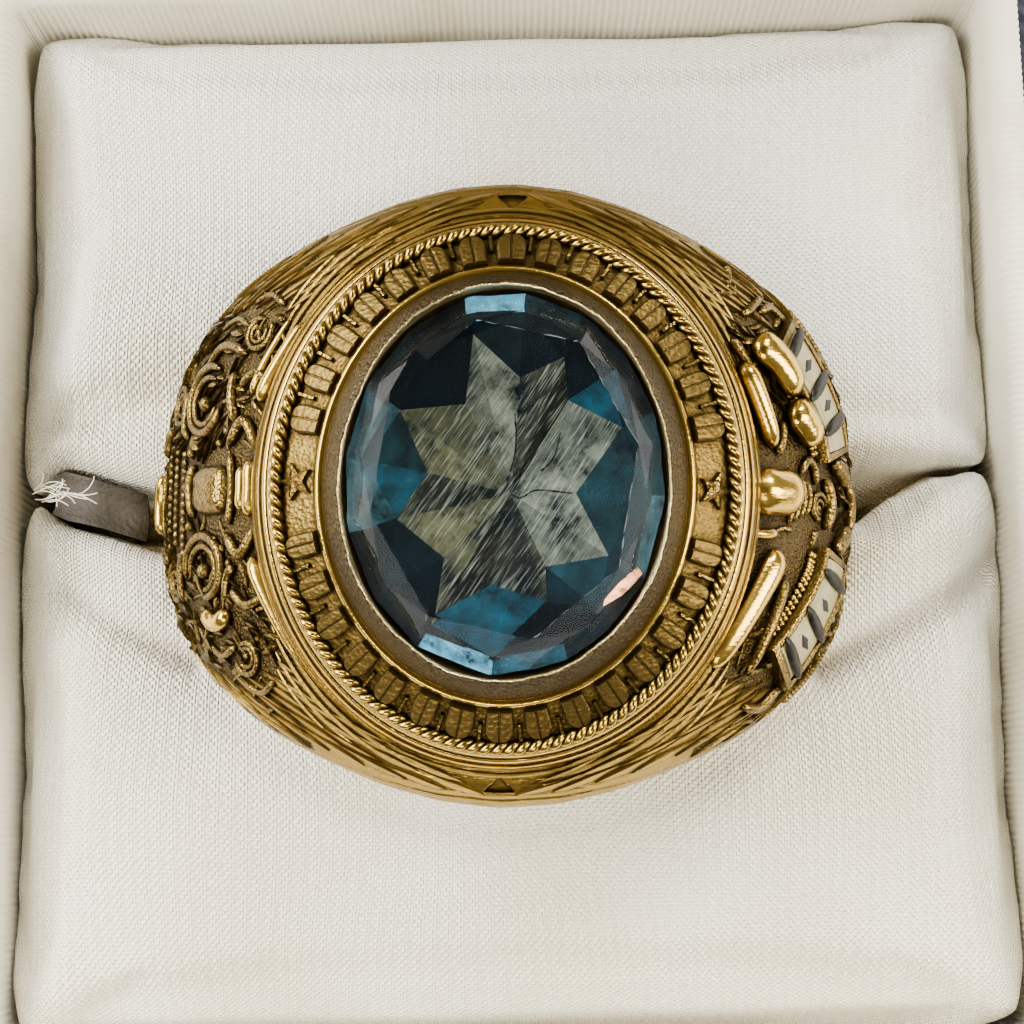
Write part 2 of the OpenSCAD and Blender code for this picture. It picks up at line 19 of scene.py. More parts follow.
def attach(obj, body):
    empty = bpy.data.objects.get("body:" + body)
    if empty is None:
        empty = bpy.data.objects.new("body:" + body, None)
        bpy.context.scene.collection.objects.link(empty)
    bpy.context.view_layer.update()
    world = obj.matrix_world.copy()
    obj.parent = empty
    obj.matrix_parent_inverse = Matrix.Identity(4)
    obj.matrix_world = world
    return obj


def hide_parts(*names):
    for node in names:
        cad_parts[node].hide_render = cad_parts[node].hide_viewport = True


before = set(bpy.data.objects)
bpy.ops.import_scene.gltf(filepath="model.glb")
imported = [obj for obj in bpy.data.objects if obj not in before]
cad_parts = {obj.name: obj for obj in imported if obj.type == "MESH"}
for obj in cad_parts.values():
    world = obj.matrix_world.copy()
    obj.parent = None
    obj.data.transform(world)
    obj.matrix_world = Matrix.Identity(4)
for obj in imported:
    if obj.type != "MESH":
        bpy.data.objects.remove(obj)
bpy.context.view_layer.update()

# %% [markdown]
# ## Camera and lights
#
# A ring is photographed from close above with a long lens. Gold has no colour
# of its own in the dark: it shows what it reflects. So the light comes from a
# bright belt round the sides, brightest at the back, and the part of the sky
# behind the camera stays dim. Level gold then looks brown and every slope
# catches a yellow streak.


# %% Camera
def in_scene(name, data):
    """A new object that is linked to the scene."""
    made = bpy.data.objects.new(name, data)
    bpy.context.scene.collection.objects.link(made)
    return made


camera_data = bpy.data.cameras.new("camera")
camera_data.lens = 65.2
camera_data.sensor_width = 36
camera_data.clip_start = 0.002
camera = in_scene("camera", camera_data)
camera.matrix_world = (
    Matrix.Translation((0.00013, -0.01194, 0.0886))
    @ Matrix.Rotation(math.radians(9.5), 4, "X")
    @ Matrix.Rotation(math.radians(-1.2), 4, "Z")
)
bpy.context.scene.camera = camera

# %% [markdown]
# Small helpers add a shader or geometry node and fill its sockets. A value that
# is itself a socket is linked, and any other value is typed in. Others wrap the
# nodes that come up again and again: a ramp, a blend and a change of range.


# %% Helpers for nodes
def fill(tree, node, values):
    """Links each value that is a socket, and types in any other."""
    for key, value in values.items():
        socket = node.inputs[key]
        if isinstance(value, bpy.types.NodeSocket):
            tree.links.new(value, socket)
        else:
            socket.default_value = value


def add(tree, kind, values=None, **settings):
    made = tree.nodes.new(kind)
    for name, value in settings.items():
        setattr(made, name, value)
    fill(tree, made, values or {})
    return made


def ramp(tree, factor, stops):
    made = add(tree, "ShaderNodeValToRGB", {"Fac": factor})
    elements = made.color_ramp.elements
    while len(elements) < len(stops):
        elements.new(0.5)
    for element, (place, color) in zip(elements, stops):
        element.position = place
        element.color = (*color, 1)
    return made.outputs["Color"]


def blend(tree, factor, first, second):
    made = add(tree, "ShaderNodeMix", {0: factor, 6: first, 7: second}, data_type="RGBA")
    return made.outputs[2]


def between(tree, factor, low, high):
    made = add(tree, "ShaderNodeMapRange", {"Value": factor, "To Min": low, "To Max": high})
    return made.outputs["Result"]


def rising(tree, factor, start, full, **settings):
    """0 up to the start and 1 from the full value on."""
    values = {"Value": factor, "From Min": start, "From Max": full}
    return add(tree, "ShaderNodeMapRange", values, **settings).outputs["Result"]


def calculate(tree, operation, first, second=0.0, third=0.0):
    values = {0: first, 1: second, 2: third}
    return add(tree, "ShaderNodeMath", values, operation=operation).outputs[0]


# %% Sky and soft lamps
world = bpy.data.worlds.new("studio")
bpy.context.scene.world = world
world.use_nodes = True
sky = world.node_tree
direction = add(sky, "ShaderNodeTexCoord").outputs["Generated"]
ways = add(sky, "ShaderNodeSeparateXYZ", {0: direction}).outputs
sky_color = ramp(sky, ways["Z"], [
    (0.0, (0.16, 0.15, 0.14)),
    (0.25, (0.5, 0.49, 0.47)),
    (0.6, (0.62, 0.62, 0.62)),
    (0.86, (0.3, 0.31, 0.33)),
    (0.97, (0.1, 0.1, 0.11)),
])
brightness = add(sky, "ShaderNodeMapRange", {
    "Value": ways["Y"], "From Min": -1.0, "To Min": 0.65, "To Max": 1.15}).outputs["Result"]
fill(sky, sky.nodes["Background"], {"Color": sky_color, "Strength": brightness})

# Columns: name, place, size, power and colour. Every lamp looks at the origin.
lamp_rows = [
    ("window_left", (-0.3, 0.12, 0.26), (0.34, 0.16), 7.4, (1.0, 0.99, 0.97)),
    ("window_back", (0.08, 0.34, 0.32), (0.42, 0.15), 11.0, (1.0, 0.99, 0.96)),
    ("room_right", (0.33, -0.05, 0.22), (0.15, 0.3), 3.6, (1.0, 0.93, 0.8)),
    ("room_front", (-0.1, -0.24, 0.34), (0.3, 0.1), 2.3, (1.0, 0.92, 0.76)),
]
for name, place, size, power, color in lamp_rows:
    data = bpy.data.lights.new(name, "AREA")
    data.shape = "RECTANGLE"
    data.size, data.size_y = size
    data.energy = power
    data.color = color
    lamp = in_scene(name, data)
    lamp.location = place
    lamp.rotation_euler = (-Vector(place)).to_track_quat("-Z", "Y").to_euler()

# %% [markdown]
# ## The ring's own measure
#
# All the gold work is drawn in the ring's own millimetres: the finger runs along
# Y through the origin and the head points up. The hoop is a superellipse whose
# width and height change with the turn round the finger. A table holds those
# shares, and a short smoothing takes the corners out of it.

# %% Sizes of the ring
finger_r = 9.9
shank_w = 4.8
shank_t = 1.6
head_t = 3.8
head_len = 20.8
hoop_power = 2.6
rope_z = finger_r + head_t
hoop_rows = np.array([
    (0, 0.82, 0.55, 1), (10, 0.83, 0.56, 0.98), (20, 0.86, 0.58, 0.925),
    (30, 0.9, 0.62, 0.845), (40, 0.95, 0.68, 0.755), (48, 0.97, 0.74, 0.665),
    (56, 0.95, 0.82, 0.55), (64, 0.9, 0.9, 0.42), (72, 0.8, 0.94, 0.27),
    (80, 0.56, 0.9, 0.13), (90, 0.28, 0.8, 0.05), (104, 0.1, 0.68, 0.01),
    (130, 0, 0.62, 0), (180, 0, 0.62, 0),
])
fine_turns = np.arange(-200, 200.25, 0.5)
soften = np.hanning(13) / np.hanning(13).sum()
smooth_rows = [
    np.convolve(
        np.interp(np.abs(np.where(np.abs(fine_turns) > 180, 360 - np.abs(fine_turns), fine_turns)),
                  hoop_rows[:, 0], hoop_rows[:, column]),
        soften, "same",
    )
    for column in (1, 2, 3)
]


def crown_r(turn):
    return finger_r + shank_t + (head_t - shank_t) * np.interp(turn, fine_turns, smooth_rows[0])


def edge_r(turn):
    return finger_r + shank_t * np.interp(turn, fine_turns, smooth_rows[1])


def half_w(turn):
    return (shank_w + (head_len - shank_w) * np.interp(turn, fine_turns, smooth_rows[2])) / 2


def skin_r(turn, y):
    share = np.minimum(1, np.abs(y) / half_w(turn)) ** hoop_power
    return edge_r(turn) + (crown_r(turn) - edge_r(turn)) * (1 - share) ** (1 / hoop_power)


def round_finger(turn, y, r):
    angle = np.radians(turn)
    return np.stack(np.broadcast_arrays(r * np.sin(angle), y, r * np.cos(angle)), -1)


print("head over the shoulders:", round(2 * float(crown_r(70.0)), 1), "mm")

# %% [markdown]
# The ring leans a little towards the front and is turned a little in its slot.
# One matrix stands every finished mesh in its place, in metres.

# %% Stand the ring in the slot
standing = (
    Matrix.Translation((0, 0, 0.017))
    @ Matrix.Rotation(math.radians(-2.5), 4, "Z")
    @ Matrix.Rotation(math.radians(6), 4, "X")
    @ Matrix.Scale(0.001, 4)
)

# %% [markdown]
# ## Shapes from points
#
# Cast ornament is a crowd of small closed forms sunk into the metal. Each helper
# below returns points and faces. A grid covers tubes and sheets, and `gather`
# puts many forms into one mesh, as solder does.


# %% Grids, tubes and lumps
def grid_faces(rows, columns, wrap_rows=False, wrap_columns=False):
    i, j = np.meshgrid(
        np.arange(rows if wrap_rows else rows - 1),
        np.arange(columns if wrap_columns else columns - 1),
        indexing="ij",
    )
    below, beside = (i + 1) % rows, (j + 1) % columns
    corners = [i * columns + j, i * columns + beside, below * columns + beside, below * columns + j]
    return np.stack(corners, -1).reshape(-1, 4).tolist()


def capped_faces(rows, columns):
    """The faces of a closed rod: the grid round it and a cap at each end."""
    last = (rows - 1) * columns
    caps = [list(range(columns)), list(range(last, last + columns))]
    return grid_faces(rows, columns, False, True) + caps


def gather(shapes):
    points, faces, start = [], [], 0
    for shape_points, shape_faces in shapes:
        points.append(np.asarray(shape_points, float))
        faces += [[start + corner for corner in face] for face in shape_faces]
        start += len(shape_points)
    return np.concatenate(points), faces


def tube(path, ups, radii, sides=8, flat=1.0):
    """A rod along a path. Ups point out of the gold, and flat squeezes it that way."""
    path, n = np.asarray(path, float), len(path)
    ahead = np.roll(path, -1, 0) - np.roll(path, 1, 0)
    ahead[0], ahead[-1] = path[1] - path[0], path[-1] - path[-2]
    ahead /= np.linalg.norm(ahead, axis=1)[:, None] + 1e-12
    side = np.cross(ahead, np.broadcast_to(ups, path.shape))
    side /= np.linalg.norm(side, axis=1)[:, None] + 1e-12
    lift = np.cross(side, ahead)
    angle = np.arange(sides) * 2 * math.pi / sides
    radii = np.broadcast_to(radii, n)[:, None, None]
    rings = path[:, None] + radii * (
        np.cos(angle)[None, :, None] * side[:, None]
        + flat * np.sin(angle)[None, :, None] * lift[:, None]
    )
    return rings.reshape(-1, 3), capped_faces(n, sides)


def lump(centre, along, across, up, rings=7, sides=12):
    """A rounded lump whose three half axes are given as vectors."""
    points = []
    for tilt in np.linspace(0, math.pi, rings + 1)[1:-1]:
        for angle in np.arange(sides) * 2 * math.pi / sides:
            flat = math.sin(tilt)
            points.append(
                centre + up * math.cos(tilt)
                + flat * (along * math.cos(angle) + across * math.sin(angle))
            )
    faces = grid_faces(rings - 1, sides, False, True)
    top, bottom = len(points), len(points) + 1
    points += [centre + up, centre - up]
    last = (rings - 2) * sides
    for i in range(sides):
        faces.append([top, i, (i + 1) % sides])
        faces.append([bottom, last + (i + 1) % sides, last + i])
    return np.array(points), faces


# %% [markdown]
# A finished mesh gets outward faces, its place and its finish in one call. Edges
# sharper than the given angle stay crisp, and everything else is shaded smooth.


# %% Make a piece
def make_piece(name, shape, finish, place=standing, crisp=40, outward=True):
    mesh = bpy.data.meshes.new(name)
    mesh.from_pydata(np.asarray(shape[0]).tolist(), [], shape[1])
    if outward:
        work = bmesh.new()
        work.from_mesh(mesh)
        bmesh.ops.recalc_face_normals(work, faces=work.faces)
        work.to_mesh(mesh)
        work.free()
    mesh.transform(place)
    mesh.update()
    mesh.materials.append(finish)
    mesh.shade_smooth()
    mesh.set_sharp_from_angle(angle=math.radians(crisp))
    triangles = sum(len(face) - 2 for face in shape[1])
    print(f"{name}: {triangles} triangles")
    return in_scene(name, mesh)


def store(mesh, name, kind, domain, values):
    """Keeps values on a mesh, where materials and trees can read them by name."""
    field = {"FLOAT": "value", "FLOAT_VECTOR": "vector", "FLOAT_COLOR": "color"}[kind]
    mesh.attributes.new(name, kind, domain).data.foreach_set(field, values)


# %% [markdown]
# ## Gold
#
# Old cast gold is bright where hands polish it and brown where they can't reach.
# The ambient occlusion node finds the recesses, and a shared group turns that
# into a patchy tarnish mask. A second group gives the height of the cast grain
# and of fine scratches. The Principled shader stays in each material. All
# finishes start and end alike, so two helpers do that for all of them.


# %% Helpers for finishes and groups
def new_finish(name):
    material = bpy.data.materials.new(name)
    material.use_nodes = True
    return material, material.node_tree


def dress(tree, values, bump=None, **settings):
    """Fills the Principled shader. Bump is a height, its strength and its metres."""
    shader = tree.nodes["Principled BSDF"]
    fill(tree, shader, values)
    if bump:
        heights = dict(zip(("Height", "Strength", "Distance"), bump))
        lifted = add(tree, "ShaderNodeBump", heights, **settings)
        fill(tree, shader, {"Normal": lifted.outputs["Normal"]})
    return shader


def place_on(tree):
    """Object coordinates, which are metres from the origin on every piece."""
    return add(tree, "ShaderNodeTexCoord").outputs["Object"]


def noise(tree, where, scale, detail=2.0, roughness=0.5):
    values = {"Vector": where, "Scale": scale, "Detail": detail, "Roughness": roughness}
    return add(tree, "ShaderNodeTexNoise", values).outputs["Fac"]


def stretch(tree, where, scale=(1.0, 1.0, 1.0), rotation=(0.0, 0.0, 0.0)):
    values = {"Vector": where, "Rotation": rotation, "Scale": scale}
    return add(tree, "ShaderNodeMapping", values).outputs[0]


def stored(tree, name, output="Fac"):
    return add(tree, "ShaderNodeAttribute", attribute_name=name).outputs[output]


def new_group(name, inputs, outputs):
    """A shader group with number sockets, and what its input node gives."""
    group = bpy.data.node_groups.new(name, "ShaderNodeTree")
    for way, socket_names in (("INPUT", inputs), ("OUTPUT", outputs)):
        for socket_name in socket_names:
            group.interface.new_socket(socket_name, in_out=way, socket_type="NodeSocketFloat")
    return group, add(group, "NodeGroupInput").outputs


# %% Shared groups for the metal
tarnish_group, inside = new_group(
    "recess_tarnish", ("Openness", "Strength", "Patches per metre"), ("Mask",))
patches = noise(tarnish_group, place_on(tarnish_group), inside["Patches per metre"], 2.0, 0.6)
closed_in = calculate(tarnish_group, "SUBTRACT", 1.0, inside["Openness"])
stronger = calculate(tarnish_group, "MULTIPLY", closed_in, inside["Strength"])
patchy = calculate(tarnish_group, "MULTIPLY_ADD", patches, 0.9, -0.45)
mask = calculate(tarnish_group, "ADD", stronger, patchy)
limited = add(tarnish_group, "ShaderNodeClamp", {"Value": mask}).outputs[0]
add(tarnish_group, "NodeGroupOutput", {"Mask": limited})

grain_group, inside = new_group(
    "cast_grain", ("Grains per metre", "Grain share", "Scratch share"), ("Height",))
where = place_on(grain_group)
pits = add(grain_group, "ShaderNodeTexVoronoi", {
    "Vector": where, "Scale": inside["Grains per metre"]}).outputs["Distance"]
lines = noise(grain_group, stretch(grain_group, where, (900.0, 9000.0, 5000.0), (0.3, 0.2, 0.7)), 1.0)
pit_part = calculate(grain_group, "MULTIPLY", pits, inside["Grain share"])
total = calculate(grain_group, "MULTIPLY_ADD", lines, inside["Scratch share"], pit_part)
add(grain_group, "NodeGroupOutput", {"Height": total})


# %% Gold finishes
def gold_finish(name, bright, brown, tarnish, polish, rough, grains, grain, scratch, bump):
    material, tree = new_finish(name)
    openness = add(tree, "ShaderNodeAmbientOcclusion", {"Distance": 0.0007}, samples=3).outputs["AO"]
    stain = add(tree, "ShaderNodeGroup", {
        "Openness": openness, "Strength": tarnish, "Patches per metre": 700.0,
    }, node_tree=tarnish_group).outputs[0]
    height = add(tree, "ShaderNodeGroup", {
        "Grains per metre": grains, "Grain share": grain, "Scratch share": scratch,
    }, node_tree=grain_group).outputs[0]
    color = blend(tree, stain, (*bright, 1), (*brown, 1))
    roughness = between(tree, stain, polish, rough)
    dress(tree, {"Base Color": color, "Roughness": roughness, "Metallic": 1.0}, (height, bump, 0.00004))
    return material


# Columns: name, bright and brown colours, tarnish, roughness of bright and of brown
# metal, grains per metre, shares of the grain and of the scratches, and the bump's strength.
deep_brown = (0.022, 0.014, 0.004)
gold_rows = [
    ("polished_gold", (0.5, 0.315, 0.05), deep_brown, 1.3, 0.17, 0.5, 5000.0, 0.1, 1.0, 0.35),
    ("worn_gold", (0.25, 0.155, 0.026), deep_brown, 1.8, 0.26, 0.62, 6000.0, 0.5, 1.0, 0.5),
    ("leaf_gold", (0.3, 0.19, 0.035), deep_brown, 2.0, 0.3, 0.62, 6000.0, 0.5, 1.0, 0.45),
    ("relief_gold", (0.14, 0.088, 0.019), deep_brown, 1.8, 0.24, 0.6, 9000.0, 0.8, 0.8, 0.6),
    ("block_gold", (0.085, 0.054, 0.013), deep_brown, 1.3, 0.4, 0.7, 6000.0, 0.9, 0.9, 0.6),
    ("band_gold", (0.14, 0.088, 0.02), (0.02, 0.0125, 0.004), 1.6, 0.42, 0.7, 7000.0, 1.0, 0.8, 0.8),
    ("ground_gold", (0.05, 0.032, 0.009), (0.01, 0.0065, 0.0025), 1.5, 0.42, 0.7, 9000.0, 1.5, 0.3, 1.0),
    ("wall_gold", (0.042, 0.028, 0.01), (0.011, 0.007, 0.0024), 1.4, 0.42, 0.75, 7000.0, 2.2, 0.3, 1.0),
    ("lip_gold", (0.62, 0.5, 0.26), (0.12, 0.08, 0.03), 0.9, 0.2, 0.5, 7000.0, 0.8, 0.8, 0.6),
    ("rope_gold", (0.33, 0.208, 0.034), (0.03, 0.018, 0.004), 1.8, 0.2, 0.5, 7000.0, 0.3, 0.6, 0.3),
]
gold = {row[0]: gold_finish(*row) for row in gold_rows}
print("gold finishes:", len(gold))

# %% [markdown]
# ## Hoop
#
# The hoop is one closed sheet: rows go round the finger, and each row runs over
# the outside from edge to edge and back through the finger hole. Fine reeds
# follow both edges of the head, and a small notch marks each end of it. The
# rows are closest at the notches, where a smaller form has to be cut.

# %% Hoop with reeded edges and end notches
near_turns = np.arange(0, 4, 0.2)
mid_turns = np.arange(4, 80, 0.5)
far_turns = np.arange(80, 180, 1.5)
half_turns = np.concatenate([near_turns, mid_turns, far_turns])
hoop_turns = np.concatenate([half_turns, [180], 360 - half_turns[:0:-1]])
hoop_turns = np.where(hoop_turns > 180, hoop_turns - 360, hoop_turns)
edge_steps = np.arange(0, 2.25, 0.055)
outside_steps = 2 * len(edge_steps) + 66


def cross_section(turn, steps):
    """Outside points from edge to edge and their distance from the edge."""
    angle = np.linspace(-math.pi / 2, math.pi / 2, 401)
    power = 2 / hoop_power
    y = half_w(turn) * np.sign(angle) * np.abs(np.sin(angle)) ** power
    r = edge_r(turn) + (crown_r(turn) - edge_r(turn)) * np.maximum(0, np.cos(angle)) ** power
    way = np.concatenate([[0], np.cumsum(np.hypot(np.diff(y), np.diff(r)))])
    even = np.linspace(0, way[-1], steps)
    if steps == outside_steps:
        near = edge_steps * min(1.0, way[-1] / 6)
        middle = np.linspace(near[-1], way[-1] - near[-1], 68)[1:-1]
        even = np.concatenate([near, middle, way[-1] - near[::-1]])
    return np.interp(even, way, y), np.interp(even, way, r), np.minimum(even, way[-1] - even)


hoop_points = []
for turn in hoop_turns:
    y, r, from_edge = cross_section(turn, outside_steps)
    grooved = np.clip((72 - abs(turn)) / 12, 0, 1)
    depth = 0.05 * grooved * (np.exp(-((from_edge - 0.72) / 0.06) ** 2)
                              + np.exp(-((from_edge - 1.08) / 0.07) ** 2))
    notch = (from_edge > 1.4) & (from_edge < 1.98) & (np.abs(turn) / 2.5 < (1.98 - from_edge) / 0.58)
    depth = depth + 0.2 * notch
    outside = round_finger(turn, y, r - depth)
    w = half_w(turn)
    inner_y = np.concatenate([
        w - 0.35 * (1 - np.cos(np.linspace(0, math.pi / 2, 5))[::-1]),
        np.linspace(w - 0.45, 0.45 - w, 9),
        0.35 * (1 - np.cos(np.linspace(0, math.pi / 2, 5))) - w,
    ])
    comfort = 0.25 * np.clip((np.abs(inner_y) / w) ** 8, 0, 1)
    inside_points = round_finger(turn, inner_y, finger_r + comfort)
    hoop_points.append(np.concatenate([outside, inside_points]))
hoop_columns = len(hoop_points[0])
hoop_shape = np.concatenate(hoop_points), grid_faces(len(hoop_turns), hoop_columns, True, True)
hoop = make_piece("hoop", hoop_shape, gold["worn_gold"], crisp=50)

# %% Stippled ground on the shoulders
hoop.data.materials.append(gold["ground_gold"])
stippled = np.zeros((len(hoop_turns), hoop_columns), np.int32)
for row, turn in enumerate(hoop_turns):
    _, _, from_edge = cross_section(turn, outside_steps)
    if 31 < abs(turn) < 68:
        stippled[row, :outside_steps] = from_edge > 1.15
hoop.data.polygons.foreach_set("material_index", stippled.ravel())
print("stippled faces on the hoop:", int(stippled.sum()))

# %% [markdown]
# ## Head border
#
# Seen from the stone outwards the border is a thin bright lip, a stippled brown
# wall, a polished moulding, the level band that carries the ornament, the rope's
# seat and three polished ridges. One profile turned round the oval makes them
# all. Its shares run from 0 at the stone to 1 at the rope, so one profile fits
# the long and the short side. The lip wavers, as a lip pushed over by hand does.

# %% Profile round the oval
stone_w, stone_len = 10.0, 12.0
rope_w, rope_len = 14.6, 16.5
border_profile = np.array([
    (1.3, -3.1), (1.5, -2.6), (1.47, -2.0), (1.44, -1.75), (1.41, -1.62), (1.39, -1.62),
    (1.375, -1.5), (1.355, -1.3), (1.33, -1.14), (1.305, -1.06), (1.29, -1.07), (1.28, -1.1),
    (1.27, -1.02), (1.255, -0.84), (1.235, -0.68), (1.21, -0.58), (1.185, -0.56), (1.172, -0.6),
    (1.165, -0.52), (1.15, -0.4), (1.13, -0.29), (1.105, -0.24), (1.085, -0.25), (1.075, -0.3),
    (1.05, -0.1), (1.02, -0.08), (0.98, -0.07), (0.945, -0.08), (0.93, -0.04), (0.915, 0.0),
    (0.9, 0.03), (0.8, 0.16), (0.7, 0.29), (0.6, 0.42), (0.52, 0.53), (0.465, 0.6),
    (0.45, 0.64), (0.44, 0.74), (0.425, 0.84), (0.4, 0.92), (0.375, 0.95), (0.345, 0.93),
    (0.325, 0.9), (0.31, 0.93), (0.295, 1.05), (0.26, 1.27), (0.22, 1.5), (0.18, 1.72),
    (0.14, 1.94), (0.11, 2.08), (0.095, 2.14), (0.085, 2.2), (0.07, 2.24), (0.05, 2.25),
    (0.032, 2.22), (0.02, 2.15), (0.02, 1.95), (0.03, 1.5), (-0.4, 0.0), (-1.9, -0.3),
])
border_sides = 540


def span(share):
    half_x = (stone_w + (rope_w - stone_w) * share) / 2
    half_y = (stone_len + (rope_len - stone_len) * share) / 2
    return half_x, half_y


def round_head(share, angle, rise):
    half_x, half_y = span(share)
    spread = np.broadcast_arrays(half_x * np.cos(angle), half_y * np.sin(angle), rope_z + rise)
    return np.stack(spread, -1)


waver = random.Random(11)
border_angles = np.arange(border_sides) * 2 * math.pi / border_sides
wobble = np.zeros(border_sides)
for beats in (3, 5, 9, 17, 31, 54, 83):
    size = 0.012 / math.sqrt(beats / 3)
    wobble += size * np.sin(beats * border_angles + waver.uniform(0, 6.28))
border_rows = []
for share, rise in border_profile:
    on_lip = max(0.0, 1 - abs(rise - 2.25) / 0.35) if share < 0.15 and rise > 0 else 0.0
    if rise < -2:
        rise = rise + 0.6 - 1.3 * np.cos(border_angles) ** 2
    border_rows.append(round_head(share + on_lip * wobble, border_angles, rise + 0.8 * on_lip * wobble))
border_shape = np.concatenate(border_rows), grid_faces(
    len(border_profile), border_sides, True, True)
head_border = make_piece("head_border", border_shape, gold["polished_gold"], crisp=60)

# %% [markdown]
# The same piece carries four finishes. The level band and the bezel's wall take
# stippled ones and the lip a pale one, by the row of the profile that a face
# came from. All other faces stay polished.

# %% Stippled band and wall, pale lip
row_of_face = np.repeat(np.arange(len(border_profile)), border_sides)
finish_of_face = np.zeros(len(row_of_face), np.int32)
rows_by_finish = (("band_gold", 29, 36), ("wall_gold", 43, 53), ("lip_gold", 53, 57))
for number, (finish_name, first_row, row_after) in enumerate(rows_by_finish, 1):
    head_border.data.materials.append(gold[finish_name])
    finish_of_face[(row_of_face >= first_row) & (row_of_face < row_after)] = number
head_border.data.polygons.foreach_set("material_index", finish_of_face)
print("faces that aren't polished:", int((finish_of_face > 0).sum()))

# %% [markdown]
# ## Rope
#
# The rope is two wires twisted round each other and bent round the head. A path
# and a twist are a rule, so Geometry Nodes make it: an oval curve, two copies
# pushed off it by an angle that grows along the way, and a round profile.


# %% Helpers for geometry trees
def new_tree(name, sockets):
    """A geometry tree with named inputs, and what its input node gives."""
    tree = bpy.data.node_groups.new(name, "GeometryNodeTree")
    tree.interface.new_socket("Geometry", in_out="OUTPUT", socket_type="NodeSocketGeometry")
    for socket_name, kind in sockets.items():
        tree.interface.new_socket(socket_name, in_out="INPUT", socket_type="NodeSocket" + kind)
    return tree, add(tree, "NodeGroupInput").outputs


def end_tree(tree, geometry, finish):
    """Makes instances real, because the export drops them, and gives the finish."""
    realized = add(tree, "GeometryNodeRealizeInstances", {0: geometry}).outputs[0]
    finished = add(tree, "GeometryNodeSetMaterial", {"Geometry": realized, "Material": finish})
    add(tree, "NodeGroupOutput", {0: finished.outputs[0]})


def vectors(tree, operation, first, second):
    return add(tree, "ShaderNodeVectorMath", {0: first, 1: second}, operation=operation).outputs[0]


def scaled(tree, vector, factor):
    values = {0: vector, "Scale": factor}
    return add(tree, "ShaderNodeVectorMath", values, operation="SCALE").outputs[0]


def baked(piece):
    """The piece's mesh with its modifiers worked in."""
    bpy.context.view_layer.update()
    graph = bpy.context.evaluated_depsgraph_get()
    return bpy.data.meshes.new_from_object(piece.evaluated_get(graph), depsgraph=graph)


def grow(name, tree, values, base=None):
    """Runs a tree once and returns its result as a plain mesh object."""
    start = in_scene(name + "_start", base or bpy.data.meshes.new(name + "_start"))
    modifier = start.modifiers.new("grow", "NODES")
    modifier.node_group = tree
    for item in tree.interface.items_tree:
        if item.in_out == "INPUT" and item.name in values:
            modifier[item.identifier] = values[item.name]
    mesh = baked(start)
    start.modifiers.remove(modifier)
    bpy.data.objects.remove(start)
    mesh.name = name
    print(f"{name}: {sum(len(p.vertices) - 2 for p in mesh.polygons)} triangles")
    return in_scene(name, mesh)


# %% A tree for a twisted rope
rope_tree, given = new_tree("twisted_rope", {
    "Half axes": "Vector", "Twists": "Float", "Strand offset": "Float",
    "Strand radius": "Float", "Points": "Int", "Finish": "Material",
})
circle = add(rope_tree, "GeometryNodeCurvePrimitiveCircle", {"Resolution": 360, "Radius": 1.0})
position = add(rope_tree, "GeometryNodeInputPosition").outputs[0]
oval_curve = add(rope_tree, "GeometryNodeSetPosition", {
    "Geometry": circle.outputs["Curve"],
    "Position": vectors(rope_tree, "MULTIPLY", position, given["Half axes"])}).outputs[0]
even_curve = add(rope_tree, "GeometryNodeResampleCurve", {
    "Curve": oval_curve, "Count": given["Points"]}).outputs[0]
along = add(rope_tree, "GeometryNodeSplineParameter").outputs["Factor"]
tangent = add(rope_tree, "GeometryNodeInputTangent").outputs[0]
sideways = vectors(rope_tree, "CROSS_PRODUCT", tangent, (0.0, 0.0, 1.0))
turns_so_far = calculate(rope_tree, "MULTIPLY", along, given["Twists"])
profile = add(rope_tree, "GeometryNodeCurvePrimitiveCircle", {
    "Resolution": 8, "Radius": given["Strand radius"]}).outputs["Curve"]
strands = add(rope_tree, "GeometryNodeJoinGeometry")
for half_turn in (0.0, 0.5):
    twist = calculate(rope_tree, "ADD", turns_so_far, half_turn)
    twist_angle = calculate(rope_tree, "MULTIPLY", twist, 2 * math.pi)
    across_part = scaled(rope_tree, sideways, calculate(rope_tree, "COSINE", twist_angle))
    rise = calculate(rope_tree, "SINE", twist_angle)
    up_part = add(rope_tree, "ShaderNodeCombineXYZ", {"Z": rise}).outputs[0]
    both = vectors(rope_tree, "ADD", across_part, up_part)
    strand = add(rope_tree, "GeometryNodeSetPosition", {
        "Geometry": even_curve, "Offset": scaled(rope_tree, both, given["Strand offset"])}).outputs[0]
    wire = add(rope_tree, "GeometryNodeCurveToMesh", {"Curve": strand, "Profile Curve": profile})
    rope_tree.links.new(wire.outputs[0], strands.inputs[0])
end_tree(rope_tree, strands.outputs[0], given["Finish"])

rope = grow("rope", rope_tree, {
    "Half axes": (7.3, 8.25, 1.0), "Twists": 65.0, "Strand offset": 0.115,
    "Strand radius": 0.135, "Points": 1170, "Finish": gold["rope_gold"],
})
rope.data.transform(standing @ Matrix.Translation((0, 0, rope_z + 0.06)))
rope.data.shade_smooth()

# %% [markdown]
# ## Ornament on the band
#
# The band carries a leaf-and-dart border, a pattern as old as carved stone: a
# short split leaf, then a dart, all round the head, with a five-pointed star
# at each side. The motifs are made once. A tree sets them on points that carry
# a turn and a size, and realizes them as one mesh.

